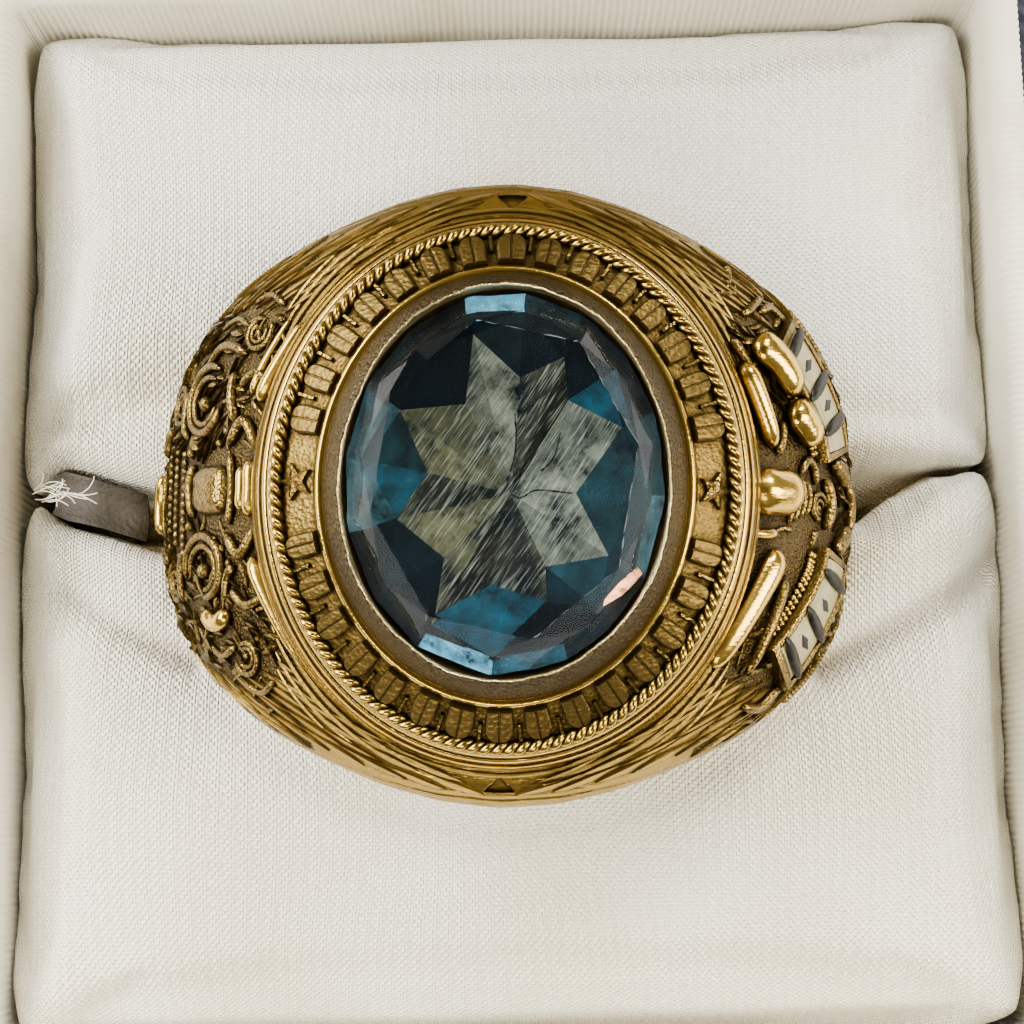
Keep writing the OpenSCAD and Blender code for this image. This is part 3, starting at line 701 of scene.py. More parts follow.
# %% A tree that sets a motif on points
studded_tree, given = new_tree("set_motifs", {
    "Points": "Geometry", "Motif": "Object", "Finish": "Material"})
motif = add(studded_tree, "GeometryNodeObjectInfo", {"Object": given["Motif"]})
facing, size_of = [
    add(studded_tree, "GeometryNodeInputNamedAttribute", {"Name": name},
        data_type="FLOAT_VECTOR").outputs[0]
    for name in ("facing", "size")
]
turned = add(studded_tree, "FunctionNodeEulerToRotation", {0: facing}).outputs[0]
placed = add(studded_tree, "GeometryNodeInstanceOnPoints", {
    "Points": given["Points"], "Instance": motif.outputs["Geometry"],
    "Rotation": turned, "Scale": size_of,
}).outputs[0]
end_tree(studded_tree, placed, given["Finish"])


def set_motifs(name, motif_shape, places, finish, crisp=35):
    """Places are (point, outward axis, sideways axis, size). The motif's Z goes up."""
    motif_piece = make_piece(name + "_motif", motif_shape, finish, Matrix.Identity(4), crisp)
    base = bpy.data.meshes.new(name + "_places")
    base.from_pydata([place[0] for place in places], [], [])
    turns, sizes = [], []
    for _, outward, sideways, size in places:
        x, y = Vector(outward).normalized(), Vector(sideways).normalized()
        axes = Matrix((x, y, x.cross(y))).transposed()
        turns += list(axes.to_euler())
        sizes += list(size) if isinstance(size, tuple) else [size] * 3
    store(base, "facing", "FLOAT_VECTOR", "POINT", turns)
    store(base, "size", "FLOAT_VECTOR", "POINT", sizes)
    piece = grow(name, studded_tree, {"Motif": motif_piece, "Finish": finish}, base)
    bpy.data.objects.remove(motif_piece)
    piece.data.transform(standing)
    return piece


# %% Motifs of the band
def flat_ribbon(path, width, low, high):
    """A raised flat-topped band along a path in the XY plane, with bevelled edges."""
    path = np.asarray(path, float)
    ahead = np.gradient(path, axis=0)
    ahead /= np.linalg.norm(ahead, axis=1)[:, None]
    side = np.stack([-ahead[:, 1], ahead[:, 0]], -1)
    rows = []
    for (x, y), (sx, sy) in zip(path, side):
        for share, z in ((-0.62, low), (-0.5, high - 0.05), (-0.36, high), (0.36, high),
                         (0.5, high - 0.05), (0.62, low)):
            rows.append((x + sx * share * width, y + sy * share * width, z))
    return np.array(rows), capped_faces(len(path), 6)


block_way = np.array([
    (-0.62, 0.38, 1.0), (-0.3, 0.41, 1.0), (-0.05, 0.43, 1.0), (0.15, 0.43, 1.0), (0.28, 0.4, 1.0),
    (0.38, 0.33, 0.98), (0.45, 0.24, 0.93), (0.5, 0.13, 0.8), (0.53, 0.05, 0.2),
])
block_section = [(-1.1, -0.4), (-0.98, 0.74), (-0.84, 0.93), (-0.25, 1.0), (-0.1, 0.97), (-0.05, 0.78),
                 (0.05, 0.78), (0.1, 0.97), (0.25, 1.0), (0.84, 0.93), (0.98, 0.74), (1.1, -0.4)]
block_points = np.array([
    (x, half * across, 0.3 * level * rise if rise > 0 else 0.3 * rise)
    for x, half, level in block_way for across, rise in block_section
])
block_shape = block_points, capped_faces(len(block_way), len(block_section))
dart_shape = flat_ribbon([(-0.1, 0), (0.1, 0), (0.3, 0), (0.52, 0)], 0.12, -0.1, 0.16)
star_points = [(0, 0, 0.3)]
for i in range(10):
    r = 0.62 if i % 2 == 0 else 0.27
    star_points.append((r * math.cos(math.radians(36 * i)), r * math.sin(math.radians(36 * i)), 0.16))
for x, y, _ in star_points[1:11]:
    star_points.append((1.04 * x, 1.04 * y, -0.1))
star_faces = [[0, i + 1, (i + 1) % 10 + 1] for i in range(10)]
star_faces += [[i + 1, i + 11, (i + 1) % 10 + 11, (i + 1) % 10 + 1] for i in range(10)]
star_faces.append(list(range(11, 21)))
star_shape = np.array(star_points), star_faces

# %% Places on the band
band_share = 0.68


def band_place(angle_deg, share=band_share, size=1.0):
    angle = math.radians(angle_deg)
    here = round_head(share, angle, np.interp(share, [0.465, 0.9], [0.6, 0.03]))
    outer = round_head(0.9, angle, 0.03)
    beside = round_head(share, angle + 0.01, here[2] - rope_z)
    sideways = beside - here
    outward = outer - here
    outward -= sideways * outward.dot(sideways) / sideways.dot(sideways)
    return here.tolist(), outward.tolist(), sideways.tolist(), size


star_free = 10
blocks = 15
pitch = (180 - 2 * star_free) / blocks
hand = random.Random(5)
block_places, dart_places = [], []
for half in (0, 180):
    for i in range(blocks):
        jitter = hand.uniform(-0.4, 0.4)
        size = (hand.uniform(0.95, 1.02), hand.uniform(0.9, 1.08), hand.uniform(0.85, 1.1))
        block_places.append(band_place(half + star_free + pitch * (i + 0.5) + jitter, size=size))
        if i > 0:
            dart_places.append(band_place(half + star_free + pitch * i))
star_places = [band_place(0), band_place(180)]
band_leaves = set_motifs("band_leaves", block_shape, block_places, gold["block_gold"])
band_darts = set_motifs("band_darts", dart_shape, dart_places, gold["relief_gold"])
band_stars = set_motifs("band_stars", star_shape, star_places, gold["relief_gold"], 10)

# %% [markdown]
# ## Leaf sprays
#
# Long thin leaves fill the space between the border and the hoop's edges. They
# start at the notches and sweep to the shoulders, each rank lying on the next.
# They follow the curved metal, so they are drawn straight on its skin: a place
# is a turn round the finger and a distance in from the hoop's edge.

# %% The skin's own directions, and curves through marks
def skin_frame(turn, y):
    turn, y = np.broadcast_arrays(np.asarray(turn, float), np.asarray(y, float))
    here = round_finger(turn, y, skin_r(turn, y))
    on = (round_finger(turn + 0.3, y, skin_r(turn + 0.3, y))
          - round_finger(turn - 0.3, y, skin_r(turn - 0.3, y)))
    over = (round_finger(turn, y + 0.05, skin_r(turn, y + 0.05))
            - round_finger(turn, y - 0.05, skin_r(turn, y - 0.05)))
    normal = np.cross(on, over)
    return here, normal / np.linalg.norm(normal, axis=-1)[..., None]


def flowing(marks, places):
    """A smooth curve through the marks, read at places from 0 to 1."""
    marks = np.asarray(marks, float)
    before, after = 2 * marks[:1] - marks[1:2], 2 * marks[-1:] - marks[-2:-1]
    padded = np.concatenate([before, marks, after])
    t = np.asarray(places) * (len(marks) - 1)
    i = np.clip(t.astype(int), 0, len(marks) - 2)
    f = (t - i)[:, None]
    a, b, c, d = padded[i], padded[i + 1], padded[i + 2], padded[i + 3]
    return 0.5 * (2 * b + (c - a) * f + (2 * a - 5 * b + 4 * c - d) * f ** 2
                  + (3 * b - a - 3 * c + d) * f ** 3)


# %% Places measured from the hoop's edge
table_turns = np.arange(0, 90.5, 0.5)
table_steps = np.arange(0, 9.05, 0.05)
table_y, table_r = [], []
for turn in table_turns:
    y, r, from_edge = cross_section(turn, 801)
    y, r, from_edge = y[:401], r[:401], from_edge[:401]
    table_y.append(np.interp(table_steps, from_edge, -y))
    table_r.append(np.interp(table_steps, from_edge, r))
table_y, table_r = np.array(table_y), np.array(table_r)


def edge_point(turn, step, end):
    row = np.clip(np.abs(turn) / 0.5, 0, len(table_turns) - 1.001)
    column = np.clip(step / 0.05, 0, len(table_steps) - 1.001)
    i, j = row.astype(int), column.astype(int)
    u, v = row - i, column - j

    def read(table):
        near = table[i, j] * (1 - v) + table[i, j + 1] * v
        far = table[i + 1, j] * (1 - v) + table[i + 1, j + 1] * v
        return near * (1 - u) + far * u

    return round_finger(turn, end * read(table_y), read(table_r))


def edge_frame(turn, step, end):
    """Points on the skin and the direction straight out of it."""
    turn, step = np.broadcast_arrays(np.asarray(turn, float), np.asarray(step, float))
    here = edge_point(turn, step, end)
    on = edge_point(turn + 0.4, step, end) - edge_point(turn - 0.4, step, end)
    inward = edge_point(turn, step + 0.06, end) - edge_point(turn, step - 0.06, end)
    normal = np.cross(on, inward) * -end
    normal /= np.linalg.norm(normal, axis=-1)[..., None] + 1e-12
    outward = round_finger(turn, 0.0, 1.0)
    return here, normal * np.where((normal * outward).sum(-1) < 0, -1, 1)[..., None]


# %% One leaf and the sprays
# The skin's mean distance from the finger's axis, which turns millimetres into degrees.
skin_mean = 13.2
leaf_along = np.linspace(0, 1, 11)
leaf_outline = np.sin(math.pi * leaf_along ** 0.75)
leaf_columns = [(-1, -0.4), (-0.82, 0.25), (0.1, 0.8), (0.7, 1.0), (1, -0.4), (0, -1.2)]


def leaf(turn, step, side, end, heading, long, wide, high, curl=0.0):
    """A keeled leaf. Heading is in degrees, from the way to the shoulder to inward."""
    angles = np.radians(heading + curl * leaf_along)
    u = np.concatenate([[0], np.cumsum(np.cos(angles[:-1]) * long / 10)])
    v = np.concatenate([[0], np.cumsum(np.sin(angles[:-1]) * long / 10)])
    per_mm = math.degrees(1 / skin_mean)
    rows = []
    for across, rise in leaf_columns:
        w = across * wide / 2 * leaf_outline
        place_u, place_v = u - np.sin(angles) * w, v + np.cos(angles) * w
        here, normal = edge_frame(side * (turn + place_u * per_mm), step + place_v, end)
        rows.append(here + normal * (high * rise * (0.35 + 0.65 * leaf_outline))[:, None])
    return np.stack(rows, 1).reshape(-1, 3), capped_faces(len(leaf_along), len(leaf_columns))


def border_step(turn):
    """How far in from the edge the head's border starts, in mm."""
    x = crown_r(turn) * math.sin(math.radians(turn))
    half_x, half_y = span(1.42)
    if abs(x) >= half_x:
        return 99.0
    border_y = half_y * math.sqrt(1 - (x / half_x) ** 2)
    y, _, from_edge = cross_section(turn, 401)
    return float(np.interp(border_y, y[200:], from_edge[200:]) if border_y < half_w(turn) else 0.0)


def ornament_step(turn):
    """How far in from the edge the shoulder's ornament starts, in mm."""
    return 1.9 + 0.42 * max(0.0, 58 - turn) / 4


def fits(turn, step):
    return 1.2 < step < min(border_step(turn), ornament_step(turn)) - 0.05


grower = random.Random(3)
slant = math.radians(14)
leaf_pitch, rank_pitch = 2.2, 0.27
leaves = []
for side in (-1, 1):
    for end in (-1, 1):
        for rank in range(-18, 26):
            for place in range(-1, 9):
                p = leaf_pitch * (place + (rank % 3) / 3) + grower.uniform(-0.12, 0.12)
                q = rank_pitch * rank + grower.uniform(-0.02, 0.02)
                turn = math.degrees((p * math.cos(slant) - q * math.sin(slant)) / skin_mean)
                step = p * math.sin(slant) + q * math.cos(slant)
                for long in (2.9, 2.1, 1.4, 0.9):
                    end_turn = turn + math.degrees(long * math.cos(slant) / skin_mean)
                    if (turn > 0.6 and end_turn < 63 and fits(turn, step)
                            and fits(end_turn, step + long * math.sin(slant))):
                        leaves.append(leaf(
                            turn, step, side, end, 14 + grower.uniform(-3, 3), long,
                            grower.uniform(0.3, 0.37), grower.uniform(0.09, 0.14),
                            grower.uniform(-5, 7)))
                        break

# %% Streaks that follow the border


def on_skin(x, y):
    """The place on the hoop under a point of the plan, as turn and y."""
    turn = math.degrees(math.asin(x / 13.3))
    for _ in range(6):
        turn = math.degrees(math.asin(max(-1.0, min(1.0, x / float(skin_r(turn, y))))))
    return turn, y


def streak(share, from_deg, to_deg, thick):
    half_x, half_y = span(share)
    marks = [on_skin(half_x * math.cos(math.radians(a)), half_y * math.sin(math.radians(a)))
             for a in np.linspace(from_deg, to_deg, 12)]
    places = np.linspace(0, 1, 40)
    way = flowing(marks, places)
    here, normal = skin_frame(way[:, 0], way[:, 1])
    radii = thick * np.sqrt(np.clip(1 - np.abs(2 * places - 1) ** 3, 0.01, 1))
    return tube(here + normal * (0.35 * radii)[:, None], normal, radii, 8)


streaks = []
for quarter in (0, 1, 2, 3):
    for share, start, stop, thick in ((1.5, 24, 78, 0.09), (1.61, 28, 66, 0.1), (1.73, 33, 58, 0.09),
                                      (1.84, 36, 52, 0.08)):
        angles = (90 * quarter + start, 90 * quarter + stop) if quarter % 2 == 0 else (
            90 * quarter + 90 - start, 90 * quarter + 90 - stop)
        streaks.append(streak(share, *angles, thick))
for middle in (90, 270):
    for share, near, far, thick in ((1.32, -40, 40, 0.08), (1.42, -30, 30, 0.08), (1.52, 8, 26, 0.07),
                                    (1.52, -26, -8, 0.07), (1.61, 9, 20, 0.06), (1.61, -20, -9, 0.06)):
        streaks.append(streak(share, middle + near, middle + far, thick))
print("leaves:", len(leaves))
leaf_sprays = make_piece("leaf_sprays", gather(leaves + streaks), gold["leaf_gold"], crisp=28)

# %% [markdown]
# ## Shoulders
#
# The shoulders carry scrolls, beads, a small shield and polished lobes. Each is
# given by its turn round the finger and its place along it, as a maker would
# mark them on the wax. A spline joins the marks and a rod follows it.


# %% Places and rods on the shoulders
def rod(marks, radius, sink=0.2, tip=1.0, sides=10, steps=18, flat=1.0):
    """A round-ended rod on the skin. Tip is the far end's share of the thickness."""
    places = 0.5 - 0.5 * np.cos(np.linspace(0, math.pi, steps))
    way = flowing(marks, places)
    here, normal = skin_frame(way[:, 0], way[:, 1])
    ends = np.sqrt(np.clip(1 - np.abs(2 * places - 1) ** 7, 0.02, 1))
    radii = radius * ends * (1 + (tip - 1) * places)
    return tube(here + normal * (radius * (1 - 2 * sink)) * (radii / radius)[:, None],
                normal, radii, sides, flat=flat)


def scroll(turn, y, size, heading, hand_of, wire=0.15, rounds=0.8):
    """A double wire that winds inwards to a bead."""
    per_mm = math.degrees(1 / float(skin_r(turn, y)))
    angle = np.linspace(0, rounds * 2 * math.pi, 44)
    shapes = []
    for gap, thick in ((0.0, 1.0), (2.3 * wire, 0.75)):
        radius = (size / 2 - gap) * (1 - 0.35 * angle / angle[-1])
        facing_angle = math.radians(heading) + hand_of * angle
        here, normal = skin_frame(
            turn + radius * np.cos(facing_angle) * per_mm, y + radius * np.sin(facing_angle))
        radii = wire * thick * np.sqrt(np.clip(1 - np.linspace(-1, 1, 44) ** 10, 0.05, 1))
        shapes.append(tube(here + normal * wire * 0.7, normal, radii, 8))
    shapes.append(bead(turn, y, 0.11 * size))
    return gather(shapes)


def bead(turn, y, radius, rise=0.5, rings=5, sides=9):
    here, normal = skin_frame(turn, y)
    across = np.array([0.0, 1.0, 0.0]) - normal * normal[1]
    across /= np.linalg.norm(across)
    along = np.cross(across, normal)
    return lump(here + normal * radius * (rise - 0.3), along * radius, across * radius,
                normal * radius, rings, sides)


# %% [markdown]
# The left shoulder shows a small shield between two scrolls, with a bank of tiny
# beads and a polished bar beyond them. Thin tendrils, drawn from a fixed seed,
# fill the ground between the larger forms, as they do on the real casting.

# %% Left shoulder
left_bright = [
    rod([(-36.9, 0.75), (-36.6, 0), (-36.9, -0.75)], 0.22),
    rod([(-38.6, 0.9), (-38.3, 0), (-38.6, -0.9)], 0.3),
    rod([(-40.4, 0.7), (-40.2, 0), (-40.4, -0.7)], 0.24),
    rod([(-33.5, 2.6), (-35.2, 2.0), (-36.6, 1.2)], 0.28, tip=0.7),
    rod([(-38.0, -2.3), (-34.5, -3.9), (-30.2, -5.6)], 0.34, tip=0.6),
    rod([(-37.6, 2.9), (-34.5, 4.2), (-31.0, 5.5)], 0.3, tip=0.6),
    rod([(-39.6, 3.2), (-37.0, 4.4), (-33.6, 5.7)], 0.17, tip=0.6),
    rod([(-33.6, -1.2), (-35.0, -1.8), (-36.8, -2.0)], 0.22, tip=0.8),
    rod([(-68.5, 0.75), (-70, -0.2), (-69.6, -1.3)], 0.3),
    rod([(-43.2, -4.2), (-46.2, -4.5), (-49.0, -4.2)], 0.33, flat=0.8),
]
left_forms = [
    scroll(-50, 3.0, 2.7, 60, 1, 0.17), scroll(-49, -2.75, 2.7, 190, -1, 0.17),
    scroll(-59.5, 3.2, 1.5, -60, -1, 0.13), scroll(-59.5, -3.1, 1.5, 120, 1, 0.13),
    rod([(-41.5, 4.6), (-44.5, 4.9), (-48.2, 4.9), (-52.0, 4.1)], 0.2, tip=0.7),
    rod([(-42.0, 5.6), (-45.5, 5.9), (-50.0, 5.6)], 0.14, tip=0.5),
    rod([(-42.6, -5.3), (-46.5, -5.6), (-51.5, -4.9)], 0.16, tip=0.6),
    rod([(-42.4, 2.3), (-43.6, 3.2), (-43.4, 4.0)], 0.22, tip=0.8),
    rod([(-42.0, -2.6), (-43.4, -3.0), (-44.2, -3.8)], 0.2, tip=0.7),
    rod([(-55.2, 1.9), (-56.8, 2.4), (-57.0, 3.6)], 0.16),
    rod([(-55.2, -2.0), (-56.8, -2.6), (-57.0, -3.8)], 0.16),
    rod([(-62.8, 2.3), (-64.4, 2.0), (-65.6, 1.4)], 0.2),
    rod([(-62.8, -2.3), (-64.4, -2.2), (-65.6, -1.9)], 0.2),
    rod([(-66.4, 0.9), (-67.4, -0.2), (-67.0, -1.5)], 0.14),
    rod([(-37.5, 1.3), (-40.5, 2.3), (-43.6, 1.5)], 0.2),
    rod([(-37.5, -1.3), (-40.5, -2.2), (-43.6, -1.5)], 0.2),
    rod([(-35.0, 3.2), (-38.5, 3.9), (-42.0, 3.5)], 0.17),
    rod([(-36.0, -3.6), (-39.5, -3.9), (-42.6, -3.4)], 0.17),
    rod([(-34.4, 0.9), (-35.6, 0.5), (-35.6, -0.5), (-34.4, -0.9)], 0.16),
    rod([(-52.4, 0.9), (-53.4, 0.2), (-52.4, -0.9)], 0.2),
    rod([(-43.2, 1.2), (-42.5, 0), (-43.2, -1.2)], 0.16),
    scroll(-39.6, 5.3, 1.3, 30, -1, 0.11), scroll(-40.4, -5.6, 1.3, 200, 1, 0.11),
    rod([(-35.2, 6.2), (-38.4, 6.6), (-42.0, 6.4)], 0.15, tip=0.6),
    rod([(-35.2, -6.4), (-38.4, -6.8), (-42.0, -6.5)], 0.15, tip=0.6),
    rod([(-52, -4.6), (-50.5, -5.0), (-49, -4.6), (-49.5, -4.1), (-51, -4.0)], 0.11),
]
for row, turn in enumerate((-56.2, -59.4, -62.6)):
    for i in range(12):
        left_forms.append(bead(turn, 1.35 - 0.29 * i + 0.12 * (row % 2), 0.145))
left_forms += [bead(-54.5, 0.15, 0.24), bead(-53.8, 1.35, 0.2), bead(-53.6, -1.2, 0.2),
               bead(-46.5, -1.7, 0.16), bead(-44.8, -2.0, 0.16), bead(-43.2, -2.5, 0.16),
               bead(-46.0, 1.6, 0.16), bead(-44.4, 2.0, 0.16)]
for i in range(9):
    left_forms.append(bead(-47.4 - 0.5 * i, -1.75 - 0.1 * (i % 2), 0.11))

# %% A chequered shield
shield_turn = -47.6
long_steps, wide_steps = 15, 13
shield_points = []
for i in range(long_steps):
    for j in range(wide_steps):
        along_share = i / (long_steps - 1) * 2 - 1
        across_share = j / (wide_steps - 1) * 2 - 1
        outline = math.sqrt(max(0, 1 - max(0, along_share) ** 3 - max(0, -along_share) ** 6))
        turn = shield_turn - 4.3 * along_share
        y = 0.85 * across_share * outline
        rim = min(1, 2.2 * (1 - abs(across_share)), 2.2 * (1 - abs(along_share)))
        check = 0.05 * math.sin(9.4 * along_share * 2) * math.sin(9.4 * across_share)
        here, normal = skin_frame(turn, y)
        shield_points.append(here + normal * (0.1 + 0.3 * max(0, rim) ** 0.5 + check * rim))
last_i, last_j = long_steps - 1, wide_steps - 1
rim_walk = [(0, j) for j in range(wide_steps)] + [(i, last_j) for i in range(1, long_steps)]
rim_walk += [(last_i, j) for j in range(last_j - 1, -1, -1)]
rim_walk += [(i, 0) for i in range(last_i - 1, 0, -1)]
rim_walk = [i * wide_steps + j for i, j in rim_walk]
inward = skin_frame(shield_turn, 0.0)[1] * 0.6
under, n = len(shield_points), len(rim_walk)
shield_points += [shield_points[k] - inward for k in rim_walk]
shield_faces = grid_faces(long_steps, wide_steps)
shield_faces += [[rim_walk[k], under + k, under + (k + 1) % n, rim_walk[(k + 1) % n]]
                 for k in range(n)]
shield_faces.append([under + k for k in range(n)])
left_forms.append((np.array(shield_points), shield_faces))

# %% Tendrils and the left piece


def tendrils(side, seed, count, keep_out):
    """Short curved wires on the shoulder's ground, clear of the larger forms."""
    draw = random.Random(seed)
    shapes = []
    while len(shapes) < count:
        turn = draw.uniform(34, 66)
        room = float(half_w(turn)) - 0.7
        y = draw.uniform(-room, room)
        if any(a < turn < b and c < y < d for a, b, c, d in keep_out):
            continue
        heading, curl = draw.uniform(0, 2 * math.pi), draw.uniform(-1.6, 1.6)
        long = draw.uniform(0.7, 1.3)
        marks = [(turn, y)]
        for step in range(4):
            heading += curl / 4
            last_turn, last_y = marks[-1]
            marks.append((last_turn + math.degrees(long / 4 * math.cos(heading) / 13),
                          last_y + long / 4 * math.sin(heading)))
        if abs(marks[-1][1]) > float(half_w(marks[-1][0])) - 0.35:
            continue
        marks = [(side * mark_turn, mark_y) for mark_turn, mark_y in marks]
        shapes.append(rod(marks, draw.uniform(0.08, 0.15), 0.35, 0.4, sides=6, steps=9))
    return shapes


def blades(side, seed, count, keep_out):
    """Short separate leaf blades on the shoulder's ground."""
    draw = random.Random(seed)
    shapes = []
    while len(shapes) < count:
        turn, end = draw.uniform(33, 67), draw.choice((-1, 1))
        step = draw.uniform(1.3, 7.0)
        y = end * float(np.interp(step, table_steps, table_y[int(turn * 2)]))
        if step < ornament_step(turn) - 0.4 or any(
                a < turn < b and c < y < d for a, b, c, d in keep_out):
            continue
        shapes.append(leaf(turn, step, side, end, draw.uniform(-50, 75), draw.uniform(0.6, 1.2),
                           draw.uniform(0.22, 0.38), draw.uniform(0.12, 0.22), draw.uniform(-40, 40)))
    return shapes


def two_finishes(name, dull_forms, bright_forms):
    """One piece with the dull forms first and the polished ones after them."""
    piece = make_piece(name, gather(dull_forms + bright_forms), gold["relief_gold"], crisp=50)
    piece.data.materials.append(gold["polished_gold"])
    dull_faces = sum(len(faces) for _, faces in dull_forms)
    bright_faces = len(piece.data.polygons) - dull_faces
    piece.data.polygons.foreach_set("material_index", [0] * dull_faces + [1] * bright_faces)
    return piece


left_forms += tendrils(-1, 21, 80, [(54, 64, -2.2, 1.6), (43, 53, -0.9, 0.9)])
left_forms += blades(-1, 31, 240, [(54, 64, -2.2, 1.6), (43, 53, -1.0, 1.0)])
left_shoulder = two_finishes("left_shoulder", left_forms, left_bright)

# %% Right shoulder
right_bright = [
    rod([(37.6, 5.2), (41.5, 4.75), (45.6, 3.75)], 0.62, flat=0.6, sides=14),
    rod([(44.2, 3.1), (46.6, 2.75), (49.2, 2.2)], 0.62, flat=0.65, sides=14),
    rod([(35.0, 4.4), (37.6, 3.3), (40.6, 1.8)], 0.42, tip=0.8, sides=12),
    rod([(41.8, -1.7), (38.0, -3.2), (31.4, -5.6)], 0.52, flat=0.6, tip=0.7, sides=14),
    rod([(36.2, 0.25), (39.6, 0.25), (42.8, 0.25)], 0.8, steps=26, sides=20, flat=0.85),
    rod([(35.2, -1.0), (38, -1.15), (41.6, -1.1)], 0.2),
]
right_forms = [
    rod([(33.6, 5.3), (36.0, 4.6), (38.0, 3.9)], 0.2, tip=0.8),
    rod([(43.8, -2.6), (41.6, -4.0), (38.0, -5.8)], 0.24, tip=0.8),
    rod([(46.8, 1.0), (48.6, 1.5), (50.4, 1.2), (50.8, 0.7)], 0.16),
    rod([(56.0, 1.5), (58.5, 1.3), (61.0, 0.9)], 0.3),
    rod([(57.0, -1.5), (59.5, -1.2), (61.5, -0.7)], 0.3),
    rod([(63, 0.9), (65, 0.2), (64, -0.8)], 0.28, flat=0.7),
    rod([(53.5, 0.9), (55, 0.1), (53.8, -0.8)], 0.24),
    rod([(41.6, 1.6), (42.6, 2.0), (43.0, 2.7)], 0.17),
    rod([(33.4, 1.5), (34.2, 0.3), (33.6, -1.0)], 0.15),
    scroll(60, 3.0, 1.5, -60, 1, 0.13), scroll(60, -3.0, 1.5, 120, -1, 0.13),
    scroll(52, -0.1, 1.1, 0, 1, 0.11),
    rod([(40.0, 6.4), (43.5, 6.6), (47.5, 6.0)], 0.18, tip=0.6),
    rod([(36.5, 6.2), (38.5, 6.5), (41.0, 6.9)], 0.16),
    rod([(38.5, -6.9), (42.5, -6.9), (46.0, -6.2)], 0.18),
    rod([(55.5, 4.2), (58.0, 3.9), (61.0, 3.9)], 0.14),
    rod([(55.5, -4.2), (58.0, -3.9), (61.0, -3.9)], 0.14),
]
for i in range(16):
    turn = 50.5 + 0.95 * i
    for end in (-1, 1):
        right_forms.append(bead(turn, end * (float(half_w(turn)) - 0.75), 0.17))
for i, turn in enumerate((45.2, 46.5, 47.8, 49.1)):
    wide = 0.95 - 0.12 * i
    right_forms.append(rod([(turn - 0.9, 0.2 + wide), (turn, 0.2), (turn - 0.9, 0.2 - wide)],
                           0.13, sides=7))
right_forms += tendrils(1, 22, 45, [(42, 58, 1.0, 6.6), (42, 58, -6.6, -1.0), (35, 45, -0.9, 1.3)])
right_forms += blades(1, 32, 170, [(42, 56, 1.2, 6.0), (42, 56, -6.0, -1.2), (35, 45, -0.9, 1.3)])

# %% [markdown]
# ## Ribbons and enamel
#
# Two enamelled ribbons curve over the right shoulder. A gold rim holds the cream
# enamel, and raised lens-shaped bars part it. The marks between the bars are
# plain dark lozenges.

# %% Ribbon rims and enamel
ribbon_marks = np.array([(43.5, 5.70), (47.5, 4.80), (51, 3.81), (54, 2.81), (55.5, 1.77)])


def ribbon_frame(end, place, across):
    """A point beside the ribbon's middle, at the skin, and the way straight out."""
    near = flowing(ribbon_marks * (1, end), np.clip([place - 0.01, place, place + 0.01], 0, 1))
    per_turn = float(crown_r(near[1, 0])) * math.pi / 180
    ahead = (near[2] - near[0]) * (per_turn, 1)
    ahead /= np.linalg.norm(ahead)
    turn = near[1, 0] - ahead[1] * across / per_turn
    y = near[1, 1] + ahead[0] * across
    level = min(abs(y), 0.8 * float(half_w(turn)))
    return turn, y, float(skin_r(turn, level))


def ribbon_sweep(end, outline, start, stop, count=30):
    """An outline of (across, lift) swept along the ribbon."""
    rows = []
    for place in np.linspace(start, stop, count):
        for across, lift in outline:
            turn, y, r = ribbon_frame(end, place, across)
            rows.append(round_finger(turn, y, r + lift))
    return np.array(rows), capped_faces(count, len(outline))


def across_ribbon(end, place, lift, half_axes, rings, sides):
    """A lump that lies across the ribbon. Its half axes run along, across and out."""
    turn, y, r = ribbon_frame(end, place, 0)
    here, up = round_finger(turn, y, r), round_finger(turn, 0.0, 1.0)
    across = round_finger(*ribbon_frame(end, place, 0.1)) - here
    across /= np.linalg.norm(across)
    ways = np.array([np.cross(across, up), across, up]) * np.array(half_axes)[:, None]
    return lump(here + up * lift, *ways, rings, sides)


channel = [(-0.97, -0.7), (-0.97, 0.44), (-0.92, 0.5), (-0.84, 0.53), (-0.77, 0.5), (-0.73, 0.44),
           (-0.73, 0.22), (0.73, 0.22), (0.73, 0.44), (0.77, 0.5), (0.84, 0.53), (0.92, 0.5),
           (0.97, 0.44), (0.97, -0.7)]
end_bar = [(-0.9, 0.1), (-0.9, 0.47), (-0.8, 0.52), (0.8, 0.52), (0.9, 0.47), (0.9, 0.1)]
slab = [(-0.68, 0.26), (-0.69, 0.42), (-0.64, 0.475), (-0.4, 0.505), (0, 0.515), (0.4, 0.505),
        (0.64, 0.475), (0.69, 0.42), (0.68, 0.26)]
enamel_shapes = {}
bar_shapes = []
dot_axes = 0.13 * np.identity(3)
for end, bars in ((1, (0.1, 0.43, 0.74)), (-1, (0.12, 0.42, 0.8))):
    right_forms += [ribbon_sweep(end, channel, 0.0, 1.0),
                    ribbon_sweep(end, end_bar, 0.0, 0.05, 3),
                    ribbon_sweep(end, end_bar, 0.95, 1.0, 3)]
    enamel_shapes[end] = ribbon_sweep(end, slab, 0.06, 0.94)
    bar_shapes += [across_ribbon(end, place, 0.53, (0.27, 0.95, 0.13), 6, 18) for place in bars]
    bar_shapes += [across_ribbon(end, place, 0.5, (0.24, 0.4, 0.045), 4, 4) for place in (0.27, 0.59)]
    for i in range(34):
        turn, y, r = ribbon_frame(end, 0.06 + 0.054 * (i // 2), -end * (1.12 + 0.2 * (i % 2)))
        here, up = round_finger(turn, y, r), round_finger(turn, 0.0, 1.0)
        right_bright.append(lump(here + up * 0.1, *dot_axes, 4, 7))
right_shoulder = two_finishes("right_shoulder", right_forms, right_bright)

